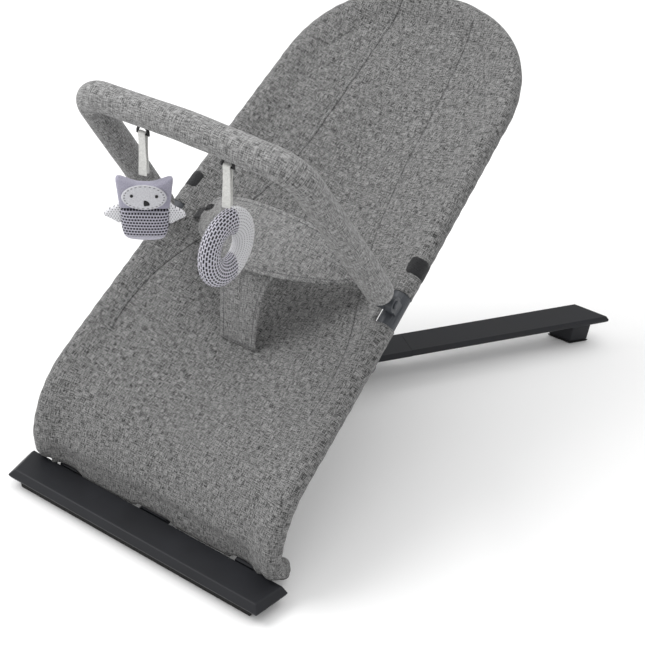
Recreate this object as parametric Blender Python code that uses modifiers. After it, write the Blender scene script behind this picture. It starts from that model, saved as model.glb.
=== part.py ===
"""Bouncer seat: a fabric sling on a bent steel frame, over a low Y-shaped base, with a toy bar.

Metres, +Z up. X is across the seat, the foot bar is at the -Y end and the head at the +Y end.
The origin is on the floor, at the middle of the whole object.
"""
import math

import bmesh
import bpy
from mathutils import Matrix, Vector

COLLECTION_NAME = "bouncer_seat"
GAP = 0.0004                    # clearance between pieces that touch

# Base
LENGTH = 0.862                  # front edge of the foot bar to the end of the rear legs
BAR_FRONT_HALF = 0.216          # half the width of the foot bar, along its front
BAR_BACK_HALF = 0.225
BAR_DEPTH = 0.055
BAR_LOW = 0.0138
BAR_TOP = 0.028
BAR_CHAMFER = 0.0080
HUB_Y = 0.480                   # where the centre lines of the rear legs meet
LEG_ANGLE = math.radians(35.5)
LEG_WIDTH = 0.0555
PLATE_LOW = 0.038
PLATE_TOP = 0.050
LEG_ROOT = 0.1313               # seam between hub and leg, measured along the leg
PLATE_CHAMFER = 0.0042
SPINE_HALF = 0.025
HUB_START = 0.400               # seam between spine and hub
FOOT_FRONT = 0.820              # rear foot blocks
FOOT_DEPTH = 0.027
FOOT_PAD = 0.0030

# Seat frame, along the side line of the seat
TUBE_RADIUS = 0.0085
INCLINE = math.radians(31.6)
LINE_Y = 0.115                  # start of the straight side line, s = 0
LINE_Z = 0.165
BEND_RADIUS = 0.130             # front bend, below s = 0
HINGE_Y = 0.086
HINGE_Z = 0.021
KNEE_Z = 0.040                  # where the tubes turn back towards the hinge
TUBE_X_FRONT = 0.196
TUBE_X_HEAD = 0.175
HEAD_S = 0.553                  # where the head loop begins
HEAD_POWER = 2.25               # superellipse power of the head loop
FLEX_S = 0.345                  # joint between lower and upper frame
FLEX_GAP = 0.0012
HEM_S = -0.1565                 # lower edge of the sling
HEM_EASE = -0.1050              # where the sling starts to step back to its hem
HEM_SET_BACK = 0.0052           # how far the hem stands behind the line of the tubes

# Fittings on the frame
CLIP_S = 0.248
CLIP_LENGTH = 0.058
CLIP_RADIUS = 0.0135
STRAP_S = 0.320
STRAP_LENGTH = 0.030
BRACKET_S = 0.170
STAY_LIFT = -0.018              # stay pivot, below the side line
STAY_X = 0.171
STAY_FOOT_Y = 0.470
STAY_FOOT_Z = 0.067
STAY_RADIUS = 0.0055
SLEEVE_RADIUS = 0.0075

# Fabric
SAG = 0.040
HEM_ROD_RADIUS = 0.0038
EDGE_GAP = 0.0145
SLING_THICKNESS = 0.0030
BACK_THICKNESS = 0.0050
HARNESS_THICKNESS = 0.0035

# Toy bar, in its own plane: across (X) and height along the legs
TOY_LEAN = math.radians(35.3)   # lean of the toy bar towards the foot end
TOY_PIVOT = 0.027
TOY_END_X = 0.181
TOY_CORNER_X = {-1: 0.161, 1: 0.1535}   # the bar is a little squarer on the left
TOY_CORNER = {-1: 0.338, 1: 0.335}
TOY_TOP = 0.347
TOY_TUBE_RADIUS = 0.0078
TOY_COVER_BORE = 0.0084
TOY_COVER_RADIUS = 0.0150
TOY_PIN_RADIUS = 0.0036
TOY_HANG_X = {"owl": -0.065, "ring": 0.061}


# ---------------------------------------------------------------- scene and materials

def clear_scene():
    for old in list(bpy.data.objects):
        bpy.data.objects.remove(old, do_unlink=True)


def new_collection(name):
    made = bpy.data.collections.new(name)
    bpy.context.scene.collection.children.link(made)
    return made


def material(name, colour, roughness, metallic=0.0):
    made = bpy.data.materials.new(name)
    made.use_nodes = True
    shader = made.node_tree.nodes["Principled BSDF"]
    shader.inputs["Base Color"].default_value = (*colour, 1.0)
    shader.inputs["Roughness"].default_value = roughness
    shader.inputs["Metallic"].default_value = metallic
    made.diffuse_color = (*colour, 1.0)
    return made


clear_scene()
PARTS = new_collection(COLLECTION_NAME)
CUTTERS = new_collection("cutters")

LOOKS = {
    "base": ((0.022, 0.022, 0.024), 0.45, 0.0),
    "rubber": ((0.012, 0.012, 0.012), 0.85, 0.0),
    "clip": ((0.045, 0.048, 0.055), 0.40, 0.0),
    "steel": ((0.10, 0.10, 0.11), 0.35, 0.8),
    "webbing": ((0.010, 0.010, 0.011), 0.80, 0.0),
    "tweed": ((0.135, 0.135, 0.140), 0.95, 0.0),
    "ribbon": ((0.80, 0.80, 0.78), 0.80, 0.0),
    "lavender": ((0.36, 0.35, 0.41), 0.95, 0.0),
    "pale": ((0.70, 0.70, 0.72), 0.95, 0.0),
    "black": ((0.010, 0.010, 0.010), 0.60, 0.0),
}


def own_material(obj, look):
    colour, roughness, metallic = LOOKS[look]
    obj.data.materials.append(material(obj.name + "_" + look, colour, roughness, metallic))


# ---------------------------------------------------------------- places

def at(x, y, z):
    """A world point, from y measured back from the front edge of the foot bar."""
    return Vector((x, y - LENGTH / 2, z))


def side_line(s):
    """Height, depth and slope of the seat's side line, s metres up from the front bend."""
    if s >= 0:
        return LINE_Y + s * math.cos(INCLINE), LINE_Z + s * math.sin(INCLINE), INCLINE
    centre_y = LINE_Y + BEND_RADIUS * math.sin(INCLINE)
    centre_z = LINE_Z - BEND_RADIUS * math.cos(INCLINE)
    bend = math.pi / 2 - INCLINE
    turned = min(-s / BEND_RADIUS, bend)
    slope = INCLINE + turned
    below = -s - turned * BEND_RADIUS
    y = centre_y - BEND_RADIUS * math.sin(slope)
    z = centre_z + BEND_RADIUS * math.cos(slope) - below
    return y, z, slope


def seat_point(x, s, lift=0.0):
    y, z, slope = side_line(s)
    return at(x, y - lift * math.sin(slope), z + lift * math.cos(slope))


def tube_x(s):
    """Half the distance between the side tubes."""
    if s <= 0:
        return TUBE_X_FRONT
    if s <= HEAD_S:
        return TUBE_X_FRONT - (TUBE_X_FRONT - TUBE_X_HEAD) * (s / HEAD_S) ** 1.2
    rise = min((s - HEAD_S) / TUBE_X_HEAD, 1.0)
    return TUBE_X_HEAD * (1.0 - rise ** HEAD_POWER) ** (1.0 / HEAD_POWER)


def sling_lift(x, s):
    """Sag of the sling below the plane of the side tubes."""
    along = min(max((s - HEM_S) / (HEAD_S + TUBE_X_HEAD - HEM_S), 0.0), 1.0)
    across = min(abs(x) / max(tube_x(s), 0.02), 1.0)
    sag = SAG * math.sin(math.pi * along) * math.cos(math.pi / 2 * across) ** 2
    return hem_back(s) - sag


def toy_point(x, height, forward=0.0):
    """A point in the plane of the toy bar, height metres up its legs."""
    y, z, _ = side_line(CLIP_S)
    lean_y = -math.sin(TOY_LEAN)
    lean_z = math.cos(TOY_LEAN)
    return at(x, y + height * lean_y - forward * lean_z, z + height * lean_z + forward * lean_y)


def leg_point(side, along, across, z):
    """A point on a rear leg: along it from the hub, and across it towards the outside."""
    x = along * math.sin(LEG_ANGLE) + across * math.cos(LEG_ANGLE)
    y = HUB_Y + along * math.cos(LEG_ANGLE) - across * math.sin(LEG_ANGLE)
    return at(side * x, y, z)


def hem_back(s):
    """How far the sling has left the plane of the tubes, towards its hem."""
    share = min(max((HEM_EASE - s) / (HEM_EASE - HEM_S), 0.0), 1.0)
    return -HEM_SET_BACK * share ** 2 * (3 - 2 * share)


def rounded_path(corners, radii, step=math.radians(14)):
    """Corner points joined by arcs of the given radii, as a list of points."""
    points = [corners[0]]
    for before, corner, after, radius in zip(corners, corners[1:], corners[2:], radii):
        back = (before - corner).normalized()
        ahead = (after - corner).normalized()
        turn = math.pi - back.angle(ahead)
        start = corner + back * radius * math.tan(turn / 2)
        centre = corner + (back + ahead).normalized() * radius / math.cos(turn / 2)
        axis = (-back).cross(ahead).normalized()
        count = max(2, math.ceil(turn / step))
        for index in range(count + 1):
            spin = Matrix.Rotation(turn * index / count, 3, axis)
            points.append(centre + spin @ (start - centre))
    points.append(corners[-1])
    return points


# ---------------------------------------------------------------- modelling helpers

def link(obj, look=None, cutter=False):
    if cutter:
        CUTTERS.objects.link(obj)
        obj.hide_render = True
        obj.display_type = "WIRE"
    else:
        PARTS.objects.link(obj)
        own_material(obj, look)
    return obj


def from_bmesh(name, mesh_data, look=None, cutter=False, smooth=False):
    mesh = bpy.data.meshes.new(name)
    mesh_data.to_mesh(mesh)
    mesh_data.free()
    if smooth:
        mesh.shade_smooth()
        mesh.set_sharp_from_angle(angle=math.radians(35))
    return link(bpy.data.objects.new(name, mesh), look, cutter)


def bevel(obj, width, segments=2):
    modifier = obj.modifiers.new("bevel", "BEVEL")
    modifier.width = width
    modifier.segments = segments
    modifier.limit_method = "ANGLE"
    modifier.angle_limit = math.radians(40)
    return obj


def cut(obj, cutter, operation="DIFFERENCE"):
    modifier = obj.modifiers.new(operation.lower(), "BOOLEAN")
    modifier.operation = operation
    modifier.object = cutter


def box(name, low, high, look=None, cutter=False, edge=0.0):
    mesh_data = bmesh.new()
    bmesh.ops.create_cube(mesh_data, size=1.0)
    size = high - low
    bmesh.ops.scale(mesh_data, vec=size, verts=mesh_data.verts)
    obj = from_bmesh(name, mesh_data, look, cutter)
    obj.location = (low + high) / 2
    if edge:
        bevel(obj, edge)
    return obj


def cylinder(name, start, end, radius, look=None, cutter=False, sides=20):
    mesh_data = bmesh.new()
    along = end - start
    bmesh.ops.create_cone(mesh_data, cap_ends=True, segments=sides, radius1=radius,
                          radius2=radius, depth=along.length)
    obj = from_bmesh(name, mesh_data, look, cutter, smooth=True)
    obj.location = (start + end) / 2
    obj.rotation_euler = Vector((0, 0, 1)).rotation_difference(along).to_euler()
    return obj


def turned(name, profile, place, direction, look, steps=20):
    """A profile of (radius, height) points turned about a line through place."""
    mesh = bpy.data.meshes.new(name)
    ring = profile[0][0] > 0
    count = len(profile)
    edges = [(i, i + 1) for i in range(count - 1)]
    if ring:
        edges.append((count - 1, 0))
    mesh.from_pydata([(radius, 0.0, height) for radius, height in profile], edges, [])
    obj = link(bpy.data.objects.new(name, mesh), look)
    screw = obj.modifiers.new("screw", "SCREW")
    screw.steps = steps
    screw.render_steps = steps
    screw.use_merge_vertices = True
    screw.merge_threshold = 0.00001
    obj.location = place
    obj.rotation_euler = Vector((0, 0, 1)).rotation_difference(direction).to_euler()
    return obj


def sleeve(name, place, direction, length, bore, radius, look, chamfer=0.0008):
    """A turned ring, its bore and its outside both round."""
    half = length / 2
    profile = [(radius - chamfer, half), (radius, half - chamfer), (radius, chamfer - half),
               (radius - chamfer, -half), (bore, -half), (bore, half)]
    return turned(name, profile, place, direction, look)


def rivet(name, place, direction, length, shank, head, head_depth, look):
    """A pin with a low round head at each end, about the middle of its length."""
    half = length / 2
    inner = half - head_depth
    profile = [(0.0, half), (head * 0.7, half), (head, half - head_depth * 0.4), (head, inner),
               (shank, inner), (shank, -inner), (head, -inner), (head, head_depth * 0.4 - half),
               (head * 0.7, -half), (0.0, -half)]
    return turned(name, profile, place, direction, look, steps=16)


def tube_curve(name, points, radius, resolution=3, caps=True, cyclic=False):
    curve = bpy.data.curves.new(name, "CURVE")
    curve.dimensions = "3D"
    spline = curve.splines.new("POLY")
    spline.points.add(len(points) - 1)
    for place, point in zip(spline.points, points):
        place.co = (*point, 1.0)
    spline.use_cyclic_u = cyclic
    curve.bevel_depth = radius
    curve.bevel_resolution = resolution
    curve.use_fill_caps = caps
    return bpy.data.objects.new(name, curve)


def tube(name, points, radius, look, resolution=3, cyclic=False):
    return link(tube_curve(name, points, radius, resolution, cyclic=cyclic), look)


def plate(name, outlines, thickness, frame, look, edge=0.0, segments=2):
    """Flat outlines, the first outside and the others as holes, filled and given a thickness.

    frame turns the outline's own X, Y and thickness directions into world directions.
    """
    curve = bpy.data.curves.new(name, "CURVE")
    curve.dimensions = "2D"
    curve.fill_mode = "BOTH"
    curve.extrude = thickness / 2
    for outline in outlines:
        spline = curve.splines.new("POLY")
        spline.points.add(len(outline) - 1)
        for place, (across, up) in zip(spline.points, outline):
            place.co = (across, up, 0.0, 1.0)
        spline.use_cyclic_u = True
    obj = link(bpy.data.objects.new(name, curve), look)
    obj.matrix_world = frame
    if edge:
        weld = obj.modifiers.new("weld", "WELD")
        weld.merge_threshold = 0.00001
        bevel(obj, edge, segments)
    return obj


def trimmed(obj, trims):
    """A beveled plate as a mesh, cut square by boxes, so that its bevel stops at the cuts."""
    bpy.context.view_layer.update()
    graph = bpy.context.evaluated_depsgraph_get()
    mesh = bpy.data.meshes.new_from_object(obj.evaluated_get(graph))
    welded = bmesh.new()
    welded.from_mesh(mesh)
    bmesh.ops.remove_doubles(welded, verts=welded.verts, dist=0.00001)
    bmesh.ops.recalc_face_normals(welded, faces=welded.faces)
    welded.to_mesh(mesh)
    welded.free()
    name = obj.name
    place = obj.matrix_world.copy()
    look = obj.data.materials[0]
    bpy.data.objects.remove(obj, do_unlink=True)
    solid = bpy.data.objects.new(name, mesh)
    PARTS.objects.link(solid)
    if not mesh.materials:
        mesh.materials.append(look)
    solid.matrix_world = place
    for trim in trims:
        cut(solid, trim)
    return solid


def trim_box(name, face, away, reach=0.08):
    """A cutter box whose one face passes through a point, square to the way it reaches."""
    mesh_data = bmesh.new()
    bmesh.ops.create_cube(mesh_data, size=reach)
    cutter = from_bmesh(name, mesh_data, cutter=True)
    cutter.matrix_world = frame_at(face + away.normalized() * reach / 2, away, Vector((0, 0, 1)))
    return cutter


def frame_at(origin, across, up):
    """A matrix whose X and Y run along two world directions, with Z square to both."""
    across = across.normalized()
    out = across.cross(up).normalized()
    up = out.cross(across)
    matrix = Matrix((across, up, out)).transposed().to_4x4()
    matrix.translation = origin
    return matrix


def arc(centre, radius, start, end, count):
    """Points of an arc in an outline, angles in degrees, counted from the outline's X."""
    points = []
    for index in range(count + 1):
        angle = math.radians(start + (end - start) * index / count)
        points.append((centre[0] + radius * math.cos(angle), centre[1] + radius * math.sin(angle)))
    return points


def shell(name, rows, thickness, look, offset=0.0):
    """An open grid of points made into a closed shell by Solidify."""
    mesh_data = bmesh.new()
    grid = [[mesh_data.verts.new(point) for point in row] for row in rows]
    for lower, upper in zip(grid, grid[1:]):
        for index in range(len(lower) - 1):
            mesh_data.faces.new((lower[index], lower[index + 1], upper[index + 1], upper[index]))
    obj = from_bmesh(name, mesh_data, look, smooth=True)
    solid = obj.modifiers.new("solidify", "SOLIDIFY")
    solid.thickness = thickness
    solid.offset = offset
    solid.use_even_offset = True
    return obj


def sides():
    return (("left", -1), ("right", 1))


# ---------------------------------------------------------------- base

def build_foot_bar():
    """A plate whose front and ends slope in towards its top, a little wider along its back."""
    shoulder = 0.0085
    undercut = 0.0030
    forward = 0.0004            # the bevel takes this off the front edge again
    mesh_data = bmesh.new()
    bmesh.ops.create_cube(mesh_data, size=1.0)
    top = max(mesh_data.faces, key=lambda face: face.calc_center_median().z)
    raised = bmesh.ops.extrude_face_region(mesh_data, geom=[top])
    crown = {item for item in raised["geom"] if isinstance(item, bmesh.types.BMVert)}
    for vert in mesh_data.verts:
        inset = BAR_CHAMFER if vert in crown else 0.0
        z = BAR_TOP - (0.0 if vert in crown else shoulder)
        if vert.co.z < 0:
            inset = undercut
            z = BAR_LOW
        half = BAR_FRONT_HALF if vert.co.y < 0 else BAR_BACK_HALF
        y = inset - forward if vert.co.y < 0 else BAR_DEPTH - inset * 0.25
        vert.co = at(math.copysign(half - inset, vert.co.x), y, z)
    bmesh.ops.delete(mesh_data, geom=[top], context="FACES_ONLY")
    bevel(from_bmesh("front_foot_bar", mesh_data, "base"), 0.0012)
    box("front_foot_pad", at(-0.200, 0.0075, 0), at(0.200, 0.0475, BAR_LOW - GAP), "rubber",
        edge=0.0015)


def chamfered_bar(name, stations, half, look):
    """A flat bar with chamfered long edges through stations, each a middle and its way across."""
    wide = half - PLATE_CHAMFER
    deep = (PLATE_TOP - PLATE_LOW) / 2
    slim = deep - PLATE_CHAMFER
    section = [(half, -slim), (half, slim), (wide, deep), (-wide, deep),
               (-half, slim), (-half, -slim), (-wide, -deep), (wide, -deep)]
    mesh_data = bmesh.new()
    rings = []
    for middle, across in stations:
        ring = [mesh_data.verts.new(middle + across * u + Vector((0, 0, v))) for u, v in section]
        rings.append(ring)
    for ring, after in zip(rings, rings[1:]):
        for index in range(len(section)):
            near = (index + 1) % len(section)
            mesh_data.faces.new((ring[index], ring[near], after[near], after[index]))
    mesh_data.faces.new(rings[0])
    mesh_data.faces.new(list(reversed(rings[-1])))
    bmesh.ops.recalc_face_normals(mesh_data, faces=mesh_data.faces)
    return from_bmesh(name, mesh_data, look)


def build_spine():
    start = BAR_DEPTH + GAP
    knee = 0.330
    end = HUB_START - GAP
    deep = (PLATE_TOP - PLATE_LOW) / 2
    across = Vector((1, 0, 0))
    stations = [(at(0, start, BAR_TOP - deep), across), (at(0, knee, PLATE_TOP - deep), across),
                (at(0, end, PLATE_TOP - deep), across)]
    chamfered_bar("center_spine", stations, SPINE_HALF, "base")


def build_hub():
    half = LEG_WIDTH / 2
    run = 0.015
    far = [leg_point(1, LEG_ROOT + run, half, 0), leg_point(1, LEG_ROOT + run, -half, 0)]
    root_y = HUB_Y - 0.013
    web_y = 0.560
    web_x = 0.023
    half_outline = [(SPINE_HALF, HUB_START - run), (SPINE_HALF, root_y)]
    half_outline += [(point.x, point.y + LENGTH / 2) for point in far]
    half_outline += [(web_x, web_y)]
    outline = half_outline + [(-x, y) for x, y in reversed(half_outline)]
    middle = at(0, 0, (PLATE_LOW + PLATE_TOP) / 2)
    frame = frame_at(middle, Vector((1, 0, 0)), Vector((0, 1, 0)))
    hub = plate("hub_plate", [outline], PLATE_TOP - PLATE_LOW, frame, "base", PLATE_CHAMFER, 1)
    trims = [trim_box("hub_start", at(0, HUB_START, PLATE_LOW), Vector((0, -1, 0)))]
    for name, side in sides():
        trims.append(trim_box("hub_end_" + name, leg_point(side, LEG_ROOT, 0, PLATE_LOW),
                              leg_direction(side)))
    trimmed(hub, trims)


def leg_direction(side):
    return Vector((side * math.sin(LEG_ANGLE), math.cos(LEG_ANGLE), 0))


def build_rear_leg(name, side):
    """One leg, square at the hub and cut in line with the back of the base at its end."""
    middle = (PLATE_LOW + PLATE_TOP) / 2
    reach = LENGTH - HUB_Y
    root = leg_point(side, LEG_ROOT + GAP, 0, middle)
    across = leg_point(side, LEG_ROOT + GAP, 1, middle) - root
    end = leg_point(side, reach / math.cos(LEG_ANGLE), 0, middle)
    skew = across + leg_direction(side) * math.tan(LEG_ANGLE)
    chamfered_bar("rear_leg_" + name, [(root, across), (end, skew)], LEG_WIDTH / 2, "base")


def foot_solid(name, side, z_low, z_high, look, edge):
    """A block whose front and back run across the seat and whose ends follow the leg."""
    width = 0.041
    front_x = 0.2425
    mesh_data = bmesh.new()
    bmesh.ops.create_cube(mesh_data, size=1.0)
    for vert in mesh_data.verts:
        taper = 1.0 + 0.10 * vert.co.z
        lean = vert.co.y * FOOT_DEPTH * math.tan(LEG_ANGLE)
        x = side * (front_x + FOOT_DEPTH / 2 * math.tan(LEG_ANGLE) + lean) + vert.co.x * width * taper
        y = FOOT_FRONT + FOOT_DEPTH * (0.5 + vert.co.y * taper)
        vert.co = at(x, y, (z_low + z_high) / 2 + vert.co.z * (z_high - z_low))
    bevel(from_bmesh(name, mesh_data, look), edge)


def build_rear_foot(name, side):
    foot_solid("rear_foot_block_" + name, side, FOOT_PAD + GAP, PLATE_LOW - GAP, "base", 0.0016)
    foot_solid("rear_foot_pad_" + name, side, 0.0, FOOT_PAD, "rubber", 0.0006)


def build_hinge_saddle(name, side):
    radius = 0.0145
    front = BAR_DEPTH + GAP
    outline = [(front, HINGE_Z + 0.0060), (front, HINGE_Z - radius)]
    outline += arc((HINGE_Y, HINGE_Z), radius, -90, 105, 11)
    bore = arc((HINGE_Y, HINGE_Z), TUBE_RADIUS + GAP, 0, 345, 23)
    frame = frame_at(at(side * 0.154, 0, 0), Vector((0, 1, 0)), Vector((0, 0, 1)))
    plate("hinge_saddle_" + name, [outline, bore], 0.030, frame, "base")


def build_leg_splice(name, side):
    low = PLATE_LOW - GAP - 0.0045
    frame = frame_at(leg_point(side, LEG_ROOT, 0, low + 0.00225),
                     Vector((side * math.sin(LEG_ANGLE), math.cos(LEG_ANGLE), 0)), Vector((1, 0, 0)))
    length = 0.033
    width = 0.018
    outline = [(-length, -width), (length, -width), (length, width), (-length, width)]
    plate("leg_splice_" + name, [outline], 0.0045, frame, "base", edge=0.0012)


def build_rack():
    """The row of shallow notches that the foot of the stay rests in."""
    low = PLATE_TOP + GAP
    outline = [(0.436, low), (0.556, low), (0.552, 0.0585)]
    outline += arc((0.532, 0.0673), 0.0080, -50, -130, 4)
    outline += [(0.518, 0.0606)]
    outline += arc((0.503, 0.0664), 0.0080, -50, -130, 4)
    outline += [(0.4870, 0.0595)]
    outline += arc((STAY_FOOT_Y, STAY_FOOT_Z - 0.0002), 0.0080, -70, -115, 4)
    outline += [(0.4600, 0.0640), (0.4570, 0.0720), (0.4480, 0.0720)]
    frame = frame_at(at(0, 0, 0), Vector((0, 1, 0)), Vector((0, 0, 1)))
    plate("recline_rack", [outline], 0.052, frame, "clip", edge=0.0008)


def build_leg_bolt(name, side):
    """The bolt head below the splice that holds the rear leg to the hub."""
    low = PLATE_LOW - GAP - 0.0045
    head = leg_point(side, LEG_ROOT, 0, low - GAP)
    cylinder("leg_bolt_" + name, head - Vector((0, 0, 0.0030)), head, 0.0058, "steel", sides=18)


# ---------------------------------------------------------------- seat frame

def build_lower_tube(name, side):
    stub = at(side * 0.141, HINGE_Y, HINGE_Z)
    turn = at(side * TUBE_X_FRONT, HINGE_Y, HINGE_Z)
    front_y = side_line(HEM_S)[0]
    knee = at(side * TUBE_X_FRONT, front_y, KNEE_Z)
    shin = at(side * TUBE_X_FRONT, front_y, 0.0542)
    bend = rounded_path([stub, turn, knee, shin], (0.0112, 0.0235))
    count = 9
    for index in range(count):
        bend.append(seat_point(side * TUBE_X_FRONT, -0.130 * (1 - index / count)))
    last = FLEX_S - FLEX_GAP / 2
    for index in range(9):
        s = last * index / 8
        bend.append(seat_point(side * tube_x(s), s))
    tube("lower_tube_" + name, bend, TUBE_RADIUS, "steel")


def build_upper_tube():
    half = []
    first = FLEX_S + FLEX_GAP / 2
    for index in range(5):
        s = first + (HEAD_S - first) * index / 5
        half.append((tube_x(s), s))
    count = 12
    for index in range(count):
        angle = math.pi / 2 * index / count
        x = TUBE_X_HEAD * math.cos(angle) ** (2 / HEAD_POWER)
        s = HEAD_S + TUBE_X_HEAD * math.sin(angle) ** (2 / HEAD_POWER)
        half.append((x, s))
    points = [seat_point(x, s) for x, s in half]
    points.append(seat_point(0, HEAD_S + TUBE_X_HEAD))
    points += [seat_point(-x, s) for x, s in reversed(half)]
    tube("upper_tube", points, TUBE_RADIUS, "steel")


def tube_direction(side, s):
    step = 0.01
    return seat_point(side * tube_x(s + step), s + step) - seat_point(side * tube_x(s - step), s - step)


def build_toy_clip(name, side):
    """A split sleeve on the side tube, with an ear that holds the end of the toy bar."""
    middle = seat_point(side * tube_x(CLIP_S), CLIP_S)
    along = tube_direction(side, CLIP_S).normalized()
    half = along * CLIP_LENGTH / 2
    clip = cylinder("toy_bar_clip_" + name, middle - half, middle + half, CLIP_RADIUS, "clip", sides=24)
    inner = side * 0.1885
    outer = side * 0.1985
    ear = cylinder("ear_" + name, toy_point(inner, TOY_PIVOT), toy_point(outer, TOY_PIVOT), 0.011,
                   cutter=True, sides=24)
    web = box("web_" + name, Vector((-0.005, -0.009, -0.022)), Vector((0.005, 0.009, 0.0)), cutter=True)
    web.matrix_world = Matrix.Translation(toy_point((inner + outer) / 2, TOY_PIVOT)) @ \
        Matrix.Rotation(TOY_LEAN, 4, "X") @ Matrix.Translation((0, 0, -0.011))
    bore = cylinder("clip_bore_" + name, middle - half * 1.2, middle + half * 1.2,
                    TUBE_RADIUS + GAP, cutter=True, sides=24)
    hole = cylinder("clip_hole_" + name, toy_point(side * 0.18, TOY_PIVOT),
                    toy_point(side * 0.21, TOY_PIVOT), TOY_PIN_RADIUS + GAP, cutter=True, sides=16)
    cut(clip, web, "UNION")
    cut(clip, ear, "UNION")
    cut(clip, bore)
    cut(clip, hole)


def build_stay_bracket(name, side):
    """A sleeve on the side tube with an inward ear below it, for the stay's pivot."""
    middle = seat_point(side * tube_x(BRACKET_S), BRACKET_S)
    half = tube_direction(side, BRACKET_S).normalized() * 0.013
    ring = cylinder("stay_bracket_" + name, middle - half, middle + half, 0.0122, "clip", sides=24)
    ear = cylinder("stay_ear_" + name, seat_point(side * 0.1785, BRACKET_S, STAY_LIFT),
                   seat_point(side * 0.1960, BRACKET_S, STAY_LIFT), 0.0085, cutter=True, sides=20)
    bore = cylinder("bracket_bore_" + name, middle - half * 1.4, middle + half * 1.4,
                    TUBE_RADIUS + GAP, cutter=True, sides=24)
    hole = cylinder("bracket_hole_" + name, seat_point(side * 0.170, BRACKET_S, STAY_LIFT),
                    seat_point(side * 0.200, BRACKET_S, STAY_LIFT), 0.0040, cutter=True, sides=16)
    cut(ring, ear, "UNION")
    cut(ring, bore)
    cut(ring, hole)


def build_frame_fittings(name, side):
    direction = tube_direction(side, STRAP_S)
    place = seat_point(side * tube_x(STRAP_S), STRAP_S)
    sleeve("frame_strap_" + name, place, direction, STRAP_LENGTH, TUBE_RADIUS + GAP, 0.0112,
           "webbing", chamfer=0.0004)
    build_toy_clip(name, side)
    build_stay_bracket(name, side)
    across = Vector((side, 0, 0))
    pivot = seat_point(side * 0.1810, BRACKET_S, STAY_LIFT)
    rivet("stay_pin_" + name, pivot, across, 0.0355, 0.0036, 0.0062, 0.0020, "steel")
    pivot = toy_point(side * 0.1865, TOY_PIVOT)
    rivet("toy_bar_pin_" + name, pivot, across, 0.0290, TOY_PIN_RADIUS, 0.0062, 0.0020, "clip")


def build_hem_rod():
    y = side_line(HEM_S)[0] + HEM_SET_BACK + SLING_THICKNESS / 2 + GAP + HEM_ROD_RADIUS
    z = 0.0365
    tube("hem_rod", [at(-0.180, y, z), at(0.180, y, z)], HEM_ROD_RADIUS, "steel", resolution=2)


# ---------------------------------------------------------------- fabric

def sling_rows(levels, half_width, columns):
    rows = []
    for s in levels:
        half = half_width(s)
        row = []
        for index in range(columns + 1):
            x = half * (2 * index / columns - 1)
            row.append(seat_point(x, s, sling_lift(x, s)))
        rows.append(row)
    return rows


def build_seat_sling():
    last = FLEX_S - 0.0012
    count = 22
    levels = [HEM_S + (last - HEM_S) * index / count for index in range(count + 1)]
    rows = sling_rows(levels, lambda s: tube_x(s) - EDGE_GAP, 14)
    shell("seat_sling", rows, SLING_THICKNESS, "tweed")


def build_back_sling():
    first = FLEX_S + 0.0012
    levels = [first + (HEAD_S - first) * index / 7 for index in range(7)]
    radius = TUBE_X_HEAD - EDGE_GAP
    count = 9
    for index in range(count + 1):
        angle = math.radians(82) * index / count
        levels.append(HEAD_S + radius * math.sin(angle) ** (2 / HEAD_POWER))

    def half_width(s):
        if s <= HEAD_S:
            return tube_x(s) - EDGE_GAP
        rise = (s - HEAD_S) / radius
        return radius * (1.0 - rise ** HEAD_POWER) ** (1.0 / HEAD_POWER)

    shell("back_sling", sling_rows(levels, half_width, 14), BACK_THICKNESS, "tweed")


BAND_HALF = 0.134
BAND_TOP = 0.290
BAND_LOW = 0.192
BAND_END_LOW = 0.250
BAND_LIFT = 0.076
BAND_END_LIFT = 0.022
TAB_X = 0.118
TAB_S = 0.271


def band_lift(x):
    """Height of the waist band above the plane of the side tubes."""
    return BAND_END_LIFT + (BAND_LIFT - BAND_END_LIFT) * (1 - (abs(x) / BAND_HALF) ** 2.4)


def band_edges(x):
    """Lower and upper edge of the band, with round ends."""
    out = abs(x) / BAND_HALF
    low = BAND_LOW + (BAND_END_LOW - BAND_LOW) * out ** 2
    start = 0.80
    if out > start:
        pinch = 0.5 * (1 - math.sqrt(max(1 - ((out - start) / (1 - start)) ** 2, 0.0)))
    else:
        pinch = 0.0
    width = BAND_TOP - low
    return low + pinch * width * 0.92, BAND_TOP - pinch * width * 0.92


def build_waist_band():
    columns = 24
    xs = [BAND_HALF * math.sin(math.pi / 2 * (2 * index / columns - 1)) for index in range(columns + 1)]
    rows = []
    for step in range(7):
        row = []
        for x in xs:
            low, high = band_edges(x)
            s = low + (high - low) * step / 6
            row.append(seat_point(x, s, band_lift(x)))
        rows.append(row)
    band = shell("waist_band", rows, HARNESS_THICKNESS, "tweed")
    for name, side in sides():
        slot = box("slot_" + name, Vector((-0.0100, -0.0030, -0.012)), Vector((0.0100, 0.0030, 0.012)),
                   cutter=True)
        slot.matrix_world = tab_frame(side)
        cut(band, slot)


def tab_frame(side):
    """A frame on the band's end: X along the band, Y up the seat, Z out of the cloth."""
    step = 0.004
    centre = seat_point(side * TAB_X, TAB_S, band_lift(TAB_X))
    outward = seat_point(side * (TAB_X + step), TAB_S, band_lift(TAB_X + step)) - centre
    upward = seat_point(side * TAB_X, TAB_S + step, band_lift(TAB_X)) - centre
    return frame_at(centre, outward, upward)


def build_toggle(name, side):
    """The black button in the slot of the tab, with its long way along the slot."""
    mesh_data = bmesh.new()
    bmesh.ops.create_uvsphere(mesh_data, u_segments=16, v_segments=10, radius=1.0)
    bmesh.ops.scale(mesh_data, vec=(0.0088, 0.0024, 0.0042), verts=mesh_data.verts)
    toggle = from_bmesh("harness_toggle_" + name, mesh_data, "black", smooth=True)
    toggle.matrix_world = tab_frame(side)


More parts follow.
